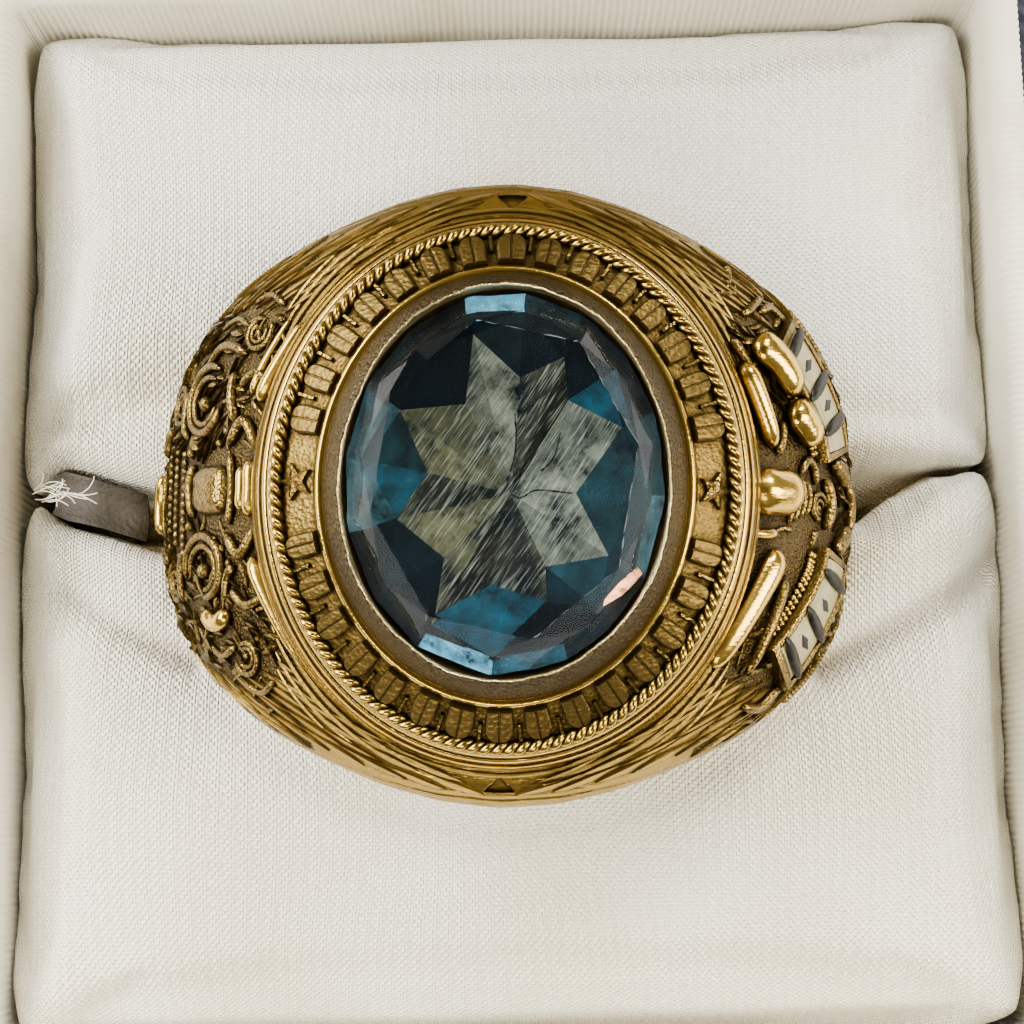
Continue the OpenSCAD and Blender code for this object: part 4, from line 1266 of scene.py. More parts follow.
# %% Enamel finishes
enamel_finish, tree = new_finish("cream_enamel")
where = place_on(tree)
specks = add(tree, "ShaderNodeTexVoronoi", {"Vector": where, "Scale": 5200.0}).outputs["Distance"]
speck_color = ramp(tree, specks, [
    (0.0, (0.02, 0.014, 0.007)), (0.1, (0.13, 0.105, 0.05)), (0.2, (0.25, 0.21, 0.1))])
cloud = noise(tree, where, 1500.0)
glaze = blend(tree, between(tree, cloud, 0.0, 0.5), speck_color, (0.16, 0.125, 0.055, 1))
dress(tree, {"Base Color": glaze, "Roughness": between(tree, cloud, 0.15, 0.35),
             "Specular IOR Level": 0.25})
dark_finish, tree = new_finish("dark_enamel")
cloud = noise(tree, place_on(tree), 4000.0)
dark_glaze = ramp(tree, cloud, [(0.35, (0.0025, 0.0018, 0.001)), (0.7, (0.014, 0.0105, 0.006))])
dress(tree, {"Base Color": dark_glaze, "Roughness": between(tree, cloud, 0.2, 0.5),
             "Specular IOR Level": 0.12})
upper_enamel = make_piece("upper_enamel_slab", enamel_shapes[1], enamel_finish, crisp=60)
lower_enamel = make_piece("lower_enamel_slab", enamel_shapes[-1], enamel_finish, crisp=60)
ribbon_bars = make_piece("ribbon_bars", gather(bar_shapes), dark_finish, crisp=60)

# %% [markdown]
# ## The stone
#
# Through the table a cut stone shows its pavilion: here a grey-green star of
# scratched facets on blue and navy ones. Rendering that from pure glass would
# take long and still be luck. So the crown is a real glass solid with its table
# and facets, and the pavilion below it is a faceted solid whose facets carry
# painted tones: each holds the stone's colour together with a painted reflection
# or painted shade. The glass lets lamplight through to them.

# %% Cut of the stone
girdle_z = 15.636
crown_h = 1.4
table_share = 0.82


def stone_point(share, turn_deg, z):
    turn = math.radians(turn_deg)
    return (share * stone_w / 2 * math.cos(turn), share * stone_len / 2 * math.sin(turn), z)


first = 103
crown_points = [stone_point(table_share, first + 45 * i, girdle_z + crown_h) for i in range(8)]
crown_points += [stone_point(0.9, first + 22.5 + 45 * i, girdle_z + 0.38 * crown_h)
                 for i in range(8)]
crown_points += [stone_point(1, first + 22.5 * j, girdle_z) for j in range(16)]
crown_points += [stone_point(1, first + 22.5 * j, girdle_z - 0.24) for j in range(16)]
crown_faces = [list(range(8)), list(range(47, 31, -1))]
for i in range(8):
    beside = (i + 1) % 8
    crown_faces += [[i, beside, 8 + i], [beside, 16 + 2 * beside, 8 + i], [i, 8 + i, 16 + 2 * i],
                    [8 + i, 16 + 2 * i + 1, 16 + 2 * i],
                    [8 + i, 16 + 2 * beside, 16 + 2 * i + 1]]
for j in range(16):
    after = (j + 1) % 16
    crown_faces.append([16 + j, 16 + after, 32 + after, 32 + j])

# %% Glass of the crown
stone_glass, tree = new_finish("stone_glass")
rubbed = stretch(tree, place_on(tree), (900.0, 14000.0, 3000.0), (0.0, 0.0, 0.9))
fine_lines = noise(tree, rubbed, 1.0, 3.0)
glass = dress(tree, {
    "Base Color": (0.8, 0.9, 0.93, 1), "Roughness": between(tree, fine_lines, 0.0, 0.02),
    "Transmission Weight": 1.0, "IOR": 1.14}, (fine_lines, 0.02, 0.00001))
clear = add(tree, "ShaderNodeBsdfTransparent")
lamps_through = add(tree, "ShaderNodeLightPath").outputs["Is Shadow Ray"]
chosen = add(tree, "ShaderNodeMixShader", {0: lamps_through, 1: glass.outputs[0], 2: clear.outputs[0]})
fill(tree, tree.nodes["Material Output"], {"Surface": chosen.outputs[0]})
stone_crown = make_piece("stone_crown", (np.array(crown_points), crown_faces), stone_glass, crisp=1)

# %% [markdown]
# The pavilion is drawn as a star of eight arms round the culet, split down the
# middle of each arm. Blue kites lie between the arms and two rings of facets
# run out to the girdle. Every facet gets a tone by name. How light or dark a
# tone is paints that facet's reflection or shade.

# %% Facets and painted tones of the pavilion
# The hues are the stone's blue and the star's grey-green; how light or dark each tone is paints the
# facet's reflection or shade.
tone_and_painted_light = {
    "black": (0.0003, 0.0004, 0.0007), "navy": (0.0004, 0.0012, 0.002), "deep": (0.0007, 0.0028, 0.0042),
    "teal": (0.0015, 0.007, 0.0092), "blue": (0.0026, 0.0145, 0.0225), "pale": (0.0095, 0.028, 0.035),
    "sky": (0.04, 0.14, 0.21), "light": (0.05, 0.05, 0.038), "grey": (0.027, 0.027, 0.02),
    "warm": (0.034, 0.03, 0.016), "olive": (0.017, 0.0155, 0.008), "dusk": (0.0075, 0.007, 0.0045),
    "umber": (0.004, 0.0036, 0.0024), "painted_glint": (0.95, 0.36, 0.18), "chip": (0.1, 0.13, 0.14),
}
culet = (0.19, -0.22, girdle_z - 2.0)
tips = [(-1.1, 4.68), (1.76, 4.03), (3.62, 1.85), (3.26, -2.15),
        (1.37, -3.6), (-2.07, -4.11), (-3.36, -1.15), (-3.33, 2.25)]
notches = [(0.39, 3.42), (1.92, 2.73), (2.22, -0.19), (1.32, -2.52),
           (-0.38, -3.12), (-1.87, -2.31), (-2.45, 0.35), (-1.31, 2.54)]
arm_tones = [("grey", "light"), ("dusk", "umber"), ("grey", "light"), ("light", "grey"),
             ("dusk", "umber"), ("umber", "olive"), ("warm", "dusk"), ("warm", "olive")]
outer_tones = [
    ("deep", "navy", "deep", "navy", "sky", "teal"),
    ("navy", "blue", "black", "deep", "navy", "black"),
    ("teal", "teal", "teal", "deep", "teal", "pale"),
    ("teal", "deep", "deep", "black", "black", "navy"),
    ("blue", "blue", "black", "black", "blue", "sky"),
    ("navy", "deep", "black", "navy", "navy", "black"),
    ("blue", "teal", "pale", "pale", "pale", "blue"),
    ("navy", "black", "navy", "navy", "deep", "black"),
]
stone_points = [culet] + [(x, y, girdle_z - 0.95) for x, y in tips]
stone_points += [(x, y, girdle_z - 1.45) for x, y in notches]
tip_turns = [math.degrees(math.atan2(y / stone_len, x / stone_w)) % 360 for x, y in tips]
rim_turns = []
for turn, next_turn in zip(tip_turns, tip_turns[1:] + tip_turns[:1]):
    rim_turns += [turn, turn + ((next_turn - turn) % -360) / 2]
for turn in rim_turns:
    stone_points.append(stone_point(0.87, turn, girdle_z - 0.62))
    stone_points.append(stone_point(0.985, turn, girdle_z - 0.34))
stone_faces, face_tones = [], []


def facet(corners, tone):
    stone_faces.append(corners)
    face_tones.append(tone)


for i in range(8):
    tip, notch, before = 1 + i, 9 + i, 9 + (i - 1) % 8
    facet([0, before, tip], arm_tones[i][0])
    facet([0, tip, notch], arm_tones[i][1])
    mid, rim, mid_b, rim_b = (17 + 4 * i + k for k in range(4))
    next_tip, next_mid, next_rim = 1 + (i + 1) % 8, 17 + 4 * ((i + 1) % 8), 18 + 4 * ((i + 1) % 8)
    tone = outer_tones[i]
    facet([notch, tip, mid_b], tone[0])
    facet([notch, mid_b, next_tip], tone[1])
    facet([tip, mid, mid_b], tone[2])
    facet([next_tip, mid_b, next_mid], tone[3])
    facet([mid, rim, rim_b, mid_b], tone[4])
    facet([mid_b, rim_b, next_rim, next_mid], tone[5])
foot = len(stone_points)
rims = list(range(18, 50, 2))
stone_points += [stone_point(0.7, turn, girdle_z - 2.4) for turn in rim_turns]
for k in range(16):
    facet([rims[k], foot + k, foot + (k + 1) % 16, rims[(k + 1) % 16]], "navy")
facet([foot + k for k in range(16)], "navy")

# %% Cracks, a chipped table edge and one painted warm glint


def add_form(shape, tone):
    start = len(stone_points)
    stone_points.extend(tuple(point) for point in shape[0])
    for face in shape[1]:
        facet([start + corner for corner in face], tone)


upright = np.array([0.0, 0.0, 1.0])
for marks in (
    [culet, (0.5, -0.35, girdle_z - 1.88), (1.0, -0.1, girdle_z - 1.76), (2.1, -0.2, girdle_z - 1.46)],
    [(0.05, 0.1, girdle_z - 1.94), (0.3, 1.2, girdle_z - 1.78), (0.25, 2.3, girdle_z - 1.6)],
    [(1.1, 0.5, girdle_z - 1.66), (1.5, 0.9, girdle_z - 1.5), (1.7, 1.7, girdle_z - 1.34)],
):
    path = flowing(marks, np.linspace(0, 1, 14))
    add_form(tube(path, upright, 0.022 + 0.012 * np.sin(np.arange(14) * 2.4), 5), "black")
chipping = random.Random(8)
edge_corners = [stone_point(table_share, first + 45 * i, girdle_z + crown_h + 0.004) for i in range(4, 9)]
for near, far in zip(edge_corners, edge_corners[1:]):
    near, far = np.array(near), np.array(far)
    place = 0.02
    while place < 0.95:
        long = chipping.uniform(0.04, 0.22)
        wide = chipping.uniform(0.004, 0.02)
        path = [near + (far - near) * (place + long * k / 3)
                + np.array([chipping.uniform(-0.02, 0.02), chipping.uniform(-0.02, 0.02), 0])
                for k in range(4)]
        add_form(tube(path, upright, [0.005, wide, wide, 0.005], 5, flat=0.4), "chip")
        place += long + chipping.uniform(0.0, 0.2)
# A small warm facet below the crown is a painted reflection, not a facet of the stone.
painted_glint = [(2.99, -3.62), (3.6, -3.3), (4.23, -2.68), (4.0, -2.46), (3.45, -2.85), (3.0, -3.4)]
add_form((np.array([(x, y, girdle_z - 0.24 + 0.02 * (x > 3.5)) for x, y in painted_glint]
                   + [(3.5, -3.0, girdle_z - 0.5)]),
          [[0, 1, 2, 3, 4, 5]] + [[k, (k + 1) % 6, 6] for k in range(6)]), "painted_glint")

# %% Finish of the pavilion
painted_pavilion_finish, tree = new_finish("painted_pavilion_finish")
where = place_on(tree)
cloud = noise(tree, where, 900.0, 5.0, 0.7)
facet_color = stored(tree, "facet_tone_and_painted_light", "Color")
clouded = blend(tree, between(tree, cloud, -1.3, 2.3), facet_color, (0.0004, 0.0009, 0.0013, 1))
aslant = stretch(tree, where, rotation=(0.0, 0.0, -0.95))
scratches = noise(tree, stretch(tree, aslant, (900.0, 24000.0, 2500.0)), 1.0, 3.0)
on_arms = calculate(tree, "MULTIPLY", rising(tree, scratches, 0.54, 0.74), stored(tree, "scratched"))
faint = calculate(tree, "MULTIPLY", on_arms, 0.45)
dress(tree, {
    "Base Color": blend(tree, faint, clouded, (0.15, 0.15, 0.12, 1)),
    "Roughness": between(tree, cloud, 0.25, 0.6), "Specular IOR Level": 0.02,
}, (scratches, 0.3, 0.00004))

stone_pavilion = make_piece(
    "stone_pavilion", (np.array(stone_points), stone_faces), painted_pavilion_finish, crisp=1)
greys = ("light", "grey", "warm", "olive", "dusk", "umber")
# Each facet keeps its tone, painted reflection or shade included, as an attribute.
store(stone_pavilion.data, "facet_tone_and_painted_light", "FLOAT_COLOR", "FACE",
      [v for tone in face_tones for v in (*tone_and_painted_light[tone], 1.0)])
store(stone_pavilion.data, "scratched", "FLOAT", "FACE", [float(tone in greys) for tone in face_tones])

# %% [markdown]
# ## Cushions
#
# Two padded halves grip the ring between them. They start from copies of the
# packed cushions, ten times as large, because cloth simulation is tuned for
# things of furniture size. A voxel remesh gives even faces, a short pressure
# run fills the cover, and no point may travel further than the padding gives.
# Afterwards each half is held off the ring, the collar and its neighbour.

# %% Fill the covers
large = 10.0
last_step = 20
# Both in metres of the enlarged cover: the remesh's step and how far a point may swell.
voxel = 0.0042
most = 0.006


def mesh_points(mesh):
    points = np.empty(len(mesh.vertices) * 3)
    mesh.vertices.foreach_get("co", points)
    return points.reshape(-1, 3)


def set_points(mesh, points):
    mesh.vertices.foreach_set("co", np.asarray(points, float).ravel())
    mesh.update()


def swap_mesh(piece, mesh):
    piece.modifiers.clear()
    piece.data = mesh


def filled_cover(name, node_name):
    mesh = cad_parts[node_name].data.copy()
    work = bmesh.new()
    work.from_mesh(mesh)
    bmesh.ops.remove_doubles(work, verts=work.verts, dist=1e-6)
    work.to_mesh(mesh)
    work.free()
    mesh.transform(Matrix.Scale(large, 4))
    cover = in_scene(name, mesh)
    remesh = cover.modifiers.new("remesh", "REMESH")
    remesh.mode = "VOXEL"
    remesh.voxel_size = voxel
    soften_step = cover.modifiers.new("soften", "SMOOTH")
    soften_step.factor = 0.5
    soften_step.iterations = 8
    swap_mesh(cover, baked(cover))
    cloth = cover.modifiers.new("cloth", "CLOTH")
    cloth.settings.quality = 3
    cloth.settings.use_pressure = True
    cloth.settings.uniform_pressure_force = 4
    cloth.settings.tension_stiffness = 12
    cloth.settings.compression_stiffness = 12
    cloth.settings.effector_weights.gravity = 0
    cloth.collision_settings.use_collision = False
    cloth.point_cache.frame_start = 1
    cloth.point_cache.frame_end = last_step
    start = mesh_points(cover.data)
    for step in range(1, last_step + 1):
        bpy.context.scene.frame_set(step)
    after = baked(cover)
    moved = mesh_points(after) - start
    length = np.linalg.norm(moved, axis=1)[:, None] + 1e-12
    print(f"{name}: swelled by {1000 * length.mean() / large:.2f} mm on average")
    set_points(cover.data, start + moved / length * np.minimum(length, most))
    cover.modifiers.clear()
    return cover


# %% Hollows and creases in millimetres on the cushion's top
# Columns: first x and y, second x and y, width and depth. A negative depth is a swelling.
creases = [
    (11.6, -6.5, 18.7, -2.9, 0.45, 1.0), (11.6, -6.4, 18.7, -2.9, 1.4, 0.5),
    (-12.0, -5.8, -16.8, -3.3, 0.4, 0.7), (-12.0, -5.8, -16.8, -3.3, 1.3, 0.35),
    (15.2, -1.8, 16.6, -1.2, 1.5, -0.35), (12.0, -8.4, 18.0, -6.6, 1.6, -0.3),
    (8.4, 9.3, 18.0, 3.6, 2.4, 0.9), (12.6, 3.4, 18.2, 3.0, 0.9, 0.4),
    (-17.0, 3.6, -12.1, 4.8, 1.0, 0.55), (-11.5, -8.6, -16.5, -7.4, 1.8, 0.5),
    (11.0, -9.8, 16.8, -11.0, 2.2, 0.5), (-9.0, 9.6, -17.0, 8.2, 2.6, 0.45),
    (2.0, 13.0, 12.0, 15.5, 2.4, 0.35), (-4.0, -13.5, -13.0, -15.5, 2.8, 0.4),
    (5.0, -13.0, 14.0, -13.5, 2.2, 0.4), (-6.0, 14.0, -15.0, 12.5, 2.6, 0.3),
]
# Where the slot's two edges lie: x, then y of the front edge and of the back edge.
mouth = np.array([
    (-18.9, 0.86, 0.94), (-18.3, 0.84, 0.96), (-17.7, 0.2, 1.6), (-17.1, -0.1, 1.85),
    (-15.5, -0.5, 1.35), (-13.6, -1.15, 0.75), (-12.5, -1.3, 0.7), (12.5, -0.8, 1.35),
    (13.9, -0.37, 1.38), (15.0, 0.5, 1.36), (16.6, 1.22, 1.38), (17.2, 1.3, 1.4), (18.9, 1.14, 1.24),
])


def creased(points):
    """Points in mm with the creases pressed into the top, and the shade painted on each point in narrow
    creases.
    """
    x, y, z = points.T
    top, painted_shade = np.clip((z - 15.5) / 2.5, 0, 1), 0 * x
    for x1, y1, x2, y2, wide, deep in creases:
        along, up = x2 - x1, y2 - y1
        t = np.clip(((x - x1) * along + (y - y1) * up) / (along ** 2 + up ** 2), 0, 1)
        gap = np.hypot(x - x1 - t * along, y - y1 - t * up)
        press = top * deep * (1 - 0.45 * t) * np.exp(-(gap / wide) ** 2)
        z = z - press
        painted_shade = painted_shade + np.maximum(0, press) * (wide < 0.5)
    waves = (np.sin(0.31 * x + 0.23 * y + 1.0) * np.sin(0.27 * y - 0.19 * x)
             + 0.5 * np.sin(0.62 * x - 0.41 * y + 2.0))
    return np.stack([x, y, z + 0.12 * top * waves], -1), np.clip(painted_shade, 0, 1)


def held_off(points, side):
    """Keeps a half inside the collar and brings its slot face to the slot's edge."""
    x, y, z = points.T
    x, z = np.clip(x, -18.9, 18.9), np.maximum(z, 1.95)
    y = np.clip(side * y, 0.04, 19.9) * side
    high = (z > 15.6) & (z < 17.4)
    marks = np.arange(-18.75, 19, 0.5)
    faces = np.array([np.min(side * y[high & (np.abs(x - mark) < 0.3)], initial=3.0) for mark in marks])
    now = np.interp(x, marks, faces)
    edge = side * np.interp(x, mouth[:, 0], mouth[:, 1 if side < 0 else 2])
    share = np.clip((z - 14.5) / 1.2, 0, 1) * np.clip((np.abs(x) - 12.2) / 0.9, 0, 1)
    behind = np.clip((side * y - now) / 5.0, 0, 1)
    y = y + side * share * (edge - now) * (1 - behind) ** 2
    depth = np.clip((side * y - edge) / 1.7, 0, 1)
    z = z - share * np.clip((z - 17.5) / 1.5, 0, 1) * 0.75 * (1 - depth) ** 2
    return np.stack([x, y, z], -1)


def off_the_ring(points, side):
    """Pushes points out of the gold along the finger's direction."""
    homogeneous = np.concatenate([points / 1000, np.ones((len(points), 1))], 1)
    local = (np.array(standing.inverted()) @ homogeneous.T).T[:, :3]
    r = np.hypot(local[:, 0], local[:, 2])
    turn = np.degrees(np.arctan2(local[:, 0], local[:, 2]))
    wide = half_w(turn) + 0.06
    inside_gold = (r > finger_r - 0.05) & (r < crown_r(turn) + 0.12) & (np.abs(local[:, 1]) < wide)
    local[:, 1] = np.where(inside_gold, side * wide, local[:, 1])
    back = np.concatenate([local, np.ones((len(local), 1))], 1) @ np.array(standing).T
    return np.where(inside_gold[:, None], 1000 * back[:, :3], points)


# %% Shape the two halves
def cloth_places(mesh, side, top_z=19.3):
    """Stores where each point lies on the flat cover, in mm, for the weave to follow."""
    x, y, z = (1000 * mesh_points(mesh)).T
    drop = np.maximum(0, top_z - z)
    over_x, over_y = np.clip((np.abs(x) - 16.8) / 1.2, 0, 1), np.clip((np.abs(y) - 17.8) / 1.2, 0, 1)
    in_slot = np.clip((2.6 - side * y) / 1.4, 0, 1)
    bend_x = 0.25 * np.sin(0.35 * x + 0.5) * np.sin(0.41 * y)
    bend_y = 0.25 * np.sin(0.3 * y + 1.5) * np.sin(0.37 * x + 0.7)
    u = x + np.sign(x) * drop * over_x + bend_x
    v = y + side * drop * (over_y - in_slot) + bend_y
    store(mesh, "cloth", "FLOAT_VECTOR", "POINT", np.stack([u, v, 0 * u], -1).ravel())


def cushion(name, node_name, side, finish):
    piece = filled_cover(name, node_name)
    finer = piece.modifiers.new("finer", "SUBSURF")
    finer.levels = finer.render_levels = 1
    swap_mesh(piece, baked(piece))
    points, painted_shade = creased(1000 / large * mesh_points(piece.data))
    points = held_off(points, side)
    points = off_the_ring(points, side)
    set_points(piece.data, points / 1000)
    cloth_places(piece.data, side)
    # A band of painted shadow round the ring joins the painted shade of the narrow creases.
    ring_shadow_band = np.clip(1 - (np.abs(np.hypot(points[:, 0] / 14.0, points[:, 1] / 12.4) - 1) / 0.12), 0, 1)
    painted_shade = np.clip(0.75 * painted_shade + 0.22 * ring_shadow_band ** 2, 0, 1)
    store(piece.data, "crease_and_ring_shade", "FLOAT", "POINT", painted_shade)
    piece.data.materials.clear()
    piece.data.materials.append(finish)
    piece.data.shade_smooth()
    print(f"{name}: {2 * len(piece.data.polygons)} triangles")
    return piece


# %% [markdown]
# The cover is a white satin with small raised dots in a staggered grid and a
# fine upright weave. Both follow the flat cover, so they wrap over the edges.
# The dots shine a little more than the ground. Shade is painted brown into the narrow folds and round the
# ring.

# %% Satin with raised dots
dot_group, inside = new_group("satin_dots", ("Dot pitch in mm",), ("Height", "Dots"))
flat_place = stored(dot_group, "cloth", "Vector")
slanted = stretch(dot_group, flat_place, rotation=(0.0, 0.0, math.radians(45)))
per_mm = calculate(dot_group, "DIVIDE", 1.0, inside["Dot pitch in mm"])
dots = add(dot_group, "ShaderNodeTexVoronoi", {
    "Vector": slanted, "Scale": per_mm, "Randomness": 0.22}, voronoi_dimensions="2D").outputs["Distance"]
dot = rising(dot_group, dots, 0.52, 0.08, interpolation_type="SMOOTHSTEP")
across_mm = add(dot_group, "ShaderNodeSeparateXYZ", {0: flat_place}).outputs["X"]
thread_angle = calculate(dot_group, "MULTIPLY", across_mm, 2 * math.pi / 0.11)
thread = calculate(dot_group, "SINE", thread_angle)
cover_height = calculate(dot_group, "MULTIPLY_ADD", thread, 0.16, dot)
add(dot_group, "NodeGroupOutput", {"Height": cover_height, "Dots": dot})

satin, tree = new_finish("dotted_satin")
cover = add(tree, "ShaderNodeGroup", {"Dot pitch in mm": 0.2}, node_tree=dot_group).outputs
flat_place = stored(tree, "cloth", "Vector")
toward_hinge = add(tree, "ShaderNodeSeparateXYZ", {0: flat_place}).outputs["Y"]
# The satin is darker and yellower towards the front, with a little noise.
front_tint = calculate(tree, "MULTIPLY_ADD", toward_hinge, -0.011, noise(tree, flat_place, 0.12, 1.0))
front_tinted_satin = ramp(tree, front_tint, [
    (0.3, (0.96, 0.94, 0.83)), (0.52, (0.93, 0.89, 0.7)), (0.7, (0.83, 0.77, 0.54))])
valleys = blend(tree, 0.6, front_tinted_satin, (0.5, 0.46, 0.37, 1))
mixed = blend(tree, cover["Dots"], valleys, front_tinted_satin)
# Painted shade: brown in the narrow creases and round the ring.
shaded_satin = blend(tree, stored(tree, "crease_and_ring_shade"), mixed, (0.2, 0.15, 0.08, 1))
lint = rising(tree, noise(tree, flat_place, 4.5, 2.0, 0.8), 0.74, 0.78)
dress(tree, {
    "Base Color": blend(tree, lint, shaded_satin, (0.3, 0.27, 0.22, 1)),
    "Roughness": between(tree, cover["Dots"], 0.6, 0.38),
    "Sheen Weight": 0.25, "Sheen Roughness": 0.4,
}, (cover["Height"], 1.0, 0.0001))

back_cushion = cushion("back_cushion_cover", "back_cushion", 1, satin)
front_cushion = cushion("front_cushion_cover", "front_cushion", -1, satin)

# %% [markdown]
# A strip of lining shows in the slot's left mouth, with shade painted on it that
# deepens to near black towards the ring, and a few torn threads stand up where the two covers meet.

# %% Lining strip and torn threads
to_metres = Matrix.Scale(0.001, 4)
lining_finish, tree = new_finish("slot_satin")
where = place_on(tree)
toward_ring = add(tree, "ShaderNodeSeparateXYZ", {0: where}).outputs["X"]
# Painted shade: the strip darkens to near black towards the ring.
shade = ramp(tree, rising(tree, toward_ring, -0.0172, -0.014), [
    (0.0, (0.15, 0.135, 0.12)), (0.5, (0.06, 0.052, 0.04)), (1.0, (0.014, 0.01, 0.004))])
weave = noise(tree, where, 5000.0)
dress(tree, {"Base Color": shade, "Roughness": between(tree, weave, 0.35, 0.65),
             "Specular IOR Level": 0.05}, (weave, 0.8, 0.0001))
strip_rows, strip_columns = np.linspace(-17.6, -13.95, 16), 18
strip_points = []
for x in strip_rows:
    front_y, back_y = (float(np.interp(x, mouth[:, 0], mouth[:, k])) for k in (1, 2))
    middle, half = (front_y + back_y) / 2, max(0.06, (back_y - front_y) / 2 - 0.03)
    sag = [(share, 18.1 - 0.55 * (1 - share ** 2) + 0.08 * math.sin(3 * x))
           for share in np.linspace(-1, 1, strip_columns // 2)]
    ring = [(x, middle + share * half, z) for share, z in sag]
    strip_points += ring + [(x, y, z - 0.2) for _, y, z in ring[::-1]]
slot_lining = make_piece(
    "slot_lining", (np.array(strip_points), capped_faces(len(strip_rows), strip_columns)),
    lining_finish, to_metres)
frayed = random.Random(14)
threads = []
for _ in range(20):
    x, y = frayed.uniform(-18.4, -16.4), frayed.uniform(0.5, 1.2)
    heading, curl = frayed.uniform(-0.9, 1.0), frayed.uniform(-1.8, 1.8)
    path = [(x, y, 18.75 + frayed.uniform(-0.15, 0.15))]
    for step in range(9):
        heading += curl / 9
        last = path[-1]
        path.append((last[0] + 0.13 * math.cos(heading), last[1] + 0.09 * math.sin(heading),
                     18.75 + 0.16 * math.sin(math.pi * step / 9) + 0.01 * step))
    threads.append(tube(path, upright, 0.014 + 0.004 * math.sin(x), 5))
torn_threads = make_piece("torn_threads", gather(threads), satin, to_metres)

# %% [markdown]
# ## Collar
#
# The collar is card wrapped in a cream, cross-ribbed cloth. A tree sweeps its
# rounded section round the plan and lifts the surface in a rib at every step of
# the way, so the ribs cross the rim and run down both walls.


# %% Plans with round corners
def plan_points(w, d, r, steps=9):
    points = []
    for corner in range(4):
        cx, cy = (1, -1, -1, 1)[corner] * (w / 2 - r), (1, 1, -1, -1)[corner] * (d / 2 - r)
        for angle in np.linspace(0, math.pi / 2, steps) + corner * math.pi / 2:
            points.append((cx + r * math.cos(angle), cy + r * math.sin(angle)))
    return points


# %% A tree for the ribbed cover
ribbed_tree, given = new_tree("ribbed_cover", {
    "Plan": "Geometry", "Section": "Object", "Ribs": "Float", "Rib height": "Float",
    "Points": "Int", "Finish": "Material",
})
as_curve = add(ribbed_tree, "GeometryNodeMeshToCurve", {"Mesh": given["Plan"]}).outputs[0]
even_curve = add(ribbed_tree, "GeometryNodeResampleCurve", {
    "Curve": as_curve, "Count": given["Points"]}).outputs[0]
along = add(ribbed_tree, "GeometryNodeSplineParameter").outputs["Factor"]
kept = ribbed_tree.nodes.new("GeometryNodeCaptureAttribute")
kept.capture_items.new("FLOAT", "along")
fill(ribbed_tree, kept, {"Geometry": even_curve, "along": along})
section = add(ribbed_tree, "GeometryNodeObjectInfo", {"Object": given["Section"]})
section_curve = add(ribbed_tree, "GeometryNodeMeshToCurve", {
    "Mesh": section.outputs["Geometry"]}).outputs[0]
swept = add(ribbed_tree, "GeometryNodeCurveToMesh", {
    "Curve": kept.outputs["Geometry"], "Profile Curve": section_curve}).outputs[0]
beat = calculate(ribbed_tree, "MULTIPLY", kept.outputs["along"], given["Ribs"])
beat_angle = calculate(ribbed_tree, "MULTIPLY", beat, 2 * math.pi)
swing = calculate(ribbed_tree, "COSINE", beat_angle)
rib_lift = calculate(ribbed_tree, "MULTIPLY", swing, given["Rib height"])
outward_way = add(ribbed_tree, "GeometryNodeInputNormal").outputs[0]
ribbed = add(ribbed_tree, "GeometryNodeSetPosition", {
    "Geometry": swept, "Offset": scaled(ribbed_tree, outward_way, rib_lift)}).outputs[0]
end_tree(ribbed_tree, ribbed, given["Finish"])

# %% Cream cover
collar_finish, tree = new_finish("ribbed_cream")
where = place_on(tree)
thread = noise(tree, where, 9000.0)
cream = ramp(tree, noise(tree, where, 160.0, 5.0), [
    (0.3, (0.66, 0.62, 0.5)), (0.6, (0.56, 0.52, 0.39)), (0.75, (0.44, 0.39, 0.27))])
dress(tree, {"Base Color": cream, "Roughness": between(tree, thread, 0.55, 0.8),
             "Sheen Weight": 0.15}, (thread, 0.4, 0.00003))


def closed_line(name, points):
    """A closed line of edges through points that are given in mm."""
    mesh = bpy.data.meshes.new(name)
    edges = [(i, (i + 1) % len(points)) for i in range(len(points))]
    mesh.from_pydata([(x / 1000, y / 1000, 0) for x, y in points], edges, [])
    return mesh


half_arc = np.linspace(0, math.pi, 9)
section_points = [(0.62, 2.2), (0.66, 2.5), (0.66, 8.0), (0.66, 14.0), (0.66, 19.6)]
section_points += [(0.66 * math.cos(a), 19.95 + 0.62 * math.sin(a)) for a in half_arc]
section_points += [(-0.66, 19.6), (-0.66, 14.0), (-0.66, 8.0), (-0.66, 2.5), (-0.62, 2.2)]
section_piece = in_scene(
    "collar_section", closed_line("collar_section", [(x, -z) for x, z in section_points]))
collar_cover = grow("collar_cover", ribbed_tree, {
    "Section": section_piece, "Ribs": 560.0, "Rib height": 0.000022, "Points": 2800,
    "Finish": collar_finish}, closed_line("collar_plan", plan_points(39.4, 41.4, 1.2)))
bpy.data.objects.remove(section_piece)
collar_cover.data.shade_smooth()
points = 1000 * mesh_points(collar_cover.data)
print("collar from", points.min(0).round(2), "to", points.max(0).round(2), "mm")

# %% [markdown]
# ## Case and lid
#
# The case is card covered in dark blue pebbled leatherette. Stacked plans with
# round corners give the walls, and a few extra rings round every rim. The lid
# is the same form, swung open about the hinge, with a satin lining inside.


# %% Stacked plans
case_w, case_d, corner_r, wall_t, floor_t = 45.8, 47.8, 3.6, 2.0, 1.8


def stacked(rows, steps=9):
    """Rows are (width, depth, corner radius, height); both ends are closed."""
    rings = [[(x, y, z) for x, y in plan_points(w, d, max(r, 0.05), steps)] for w, d, r, z in rows]
    return np.array(rings, float).reshape(-1, 3), capped_faces(len(rows), len(rings[0]))


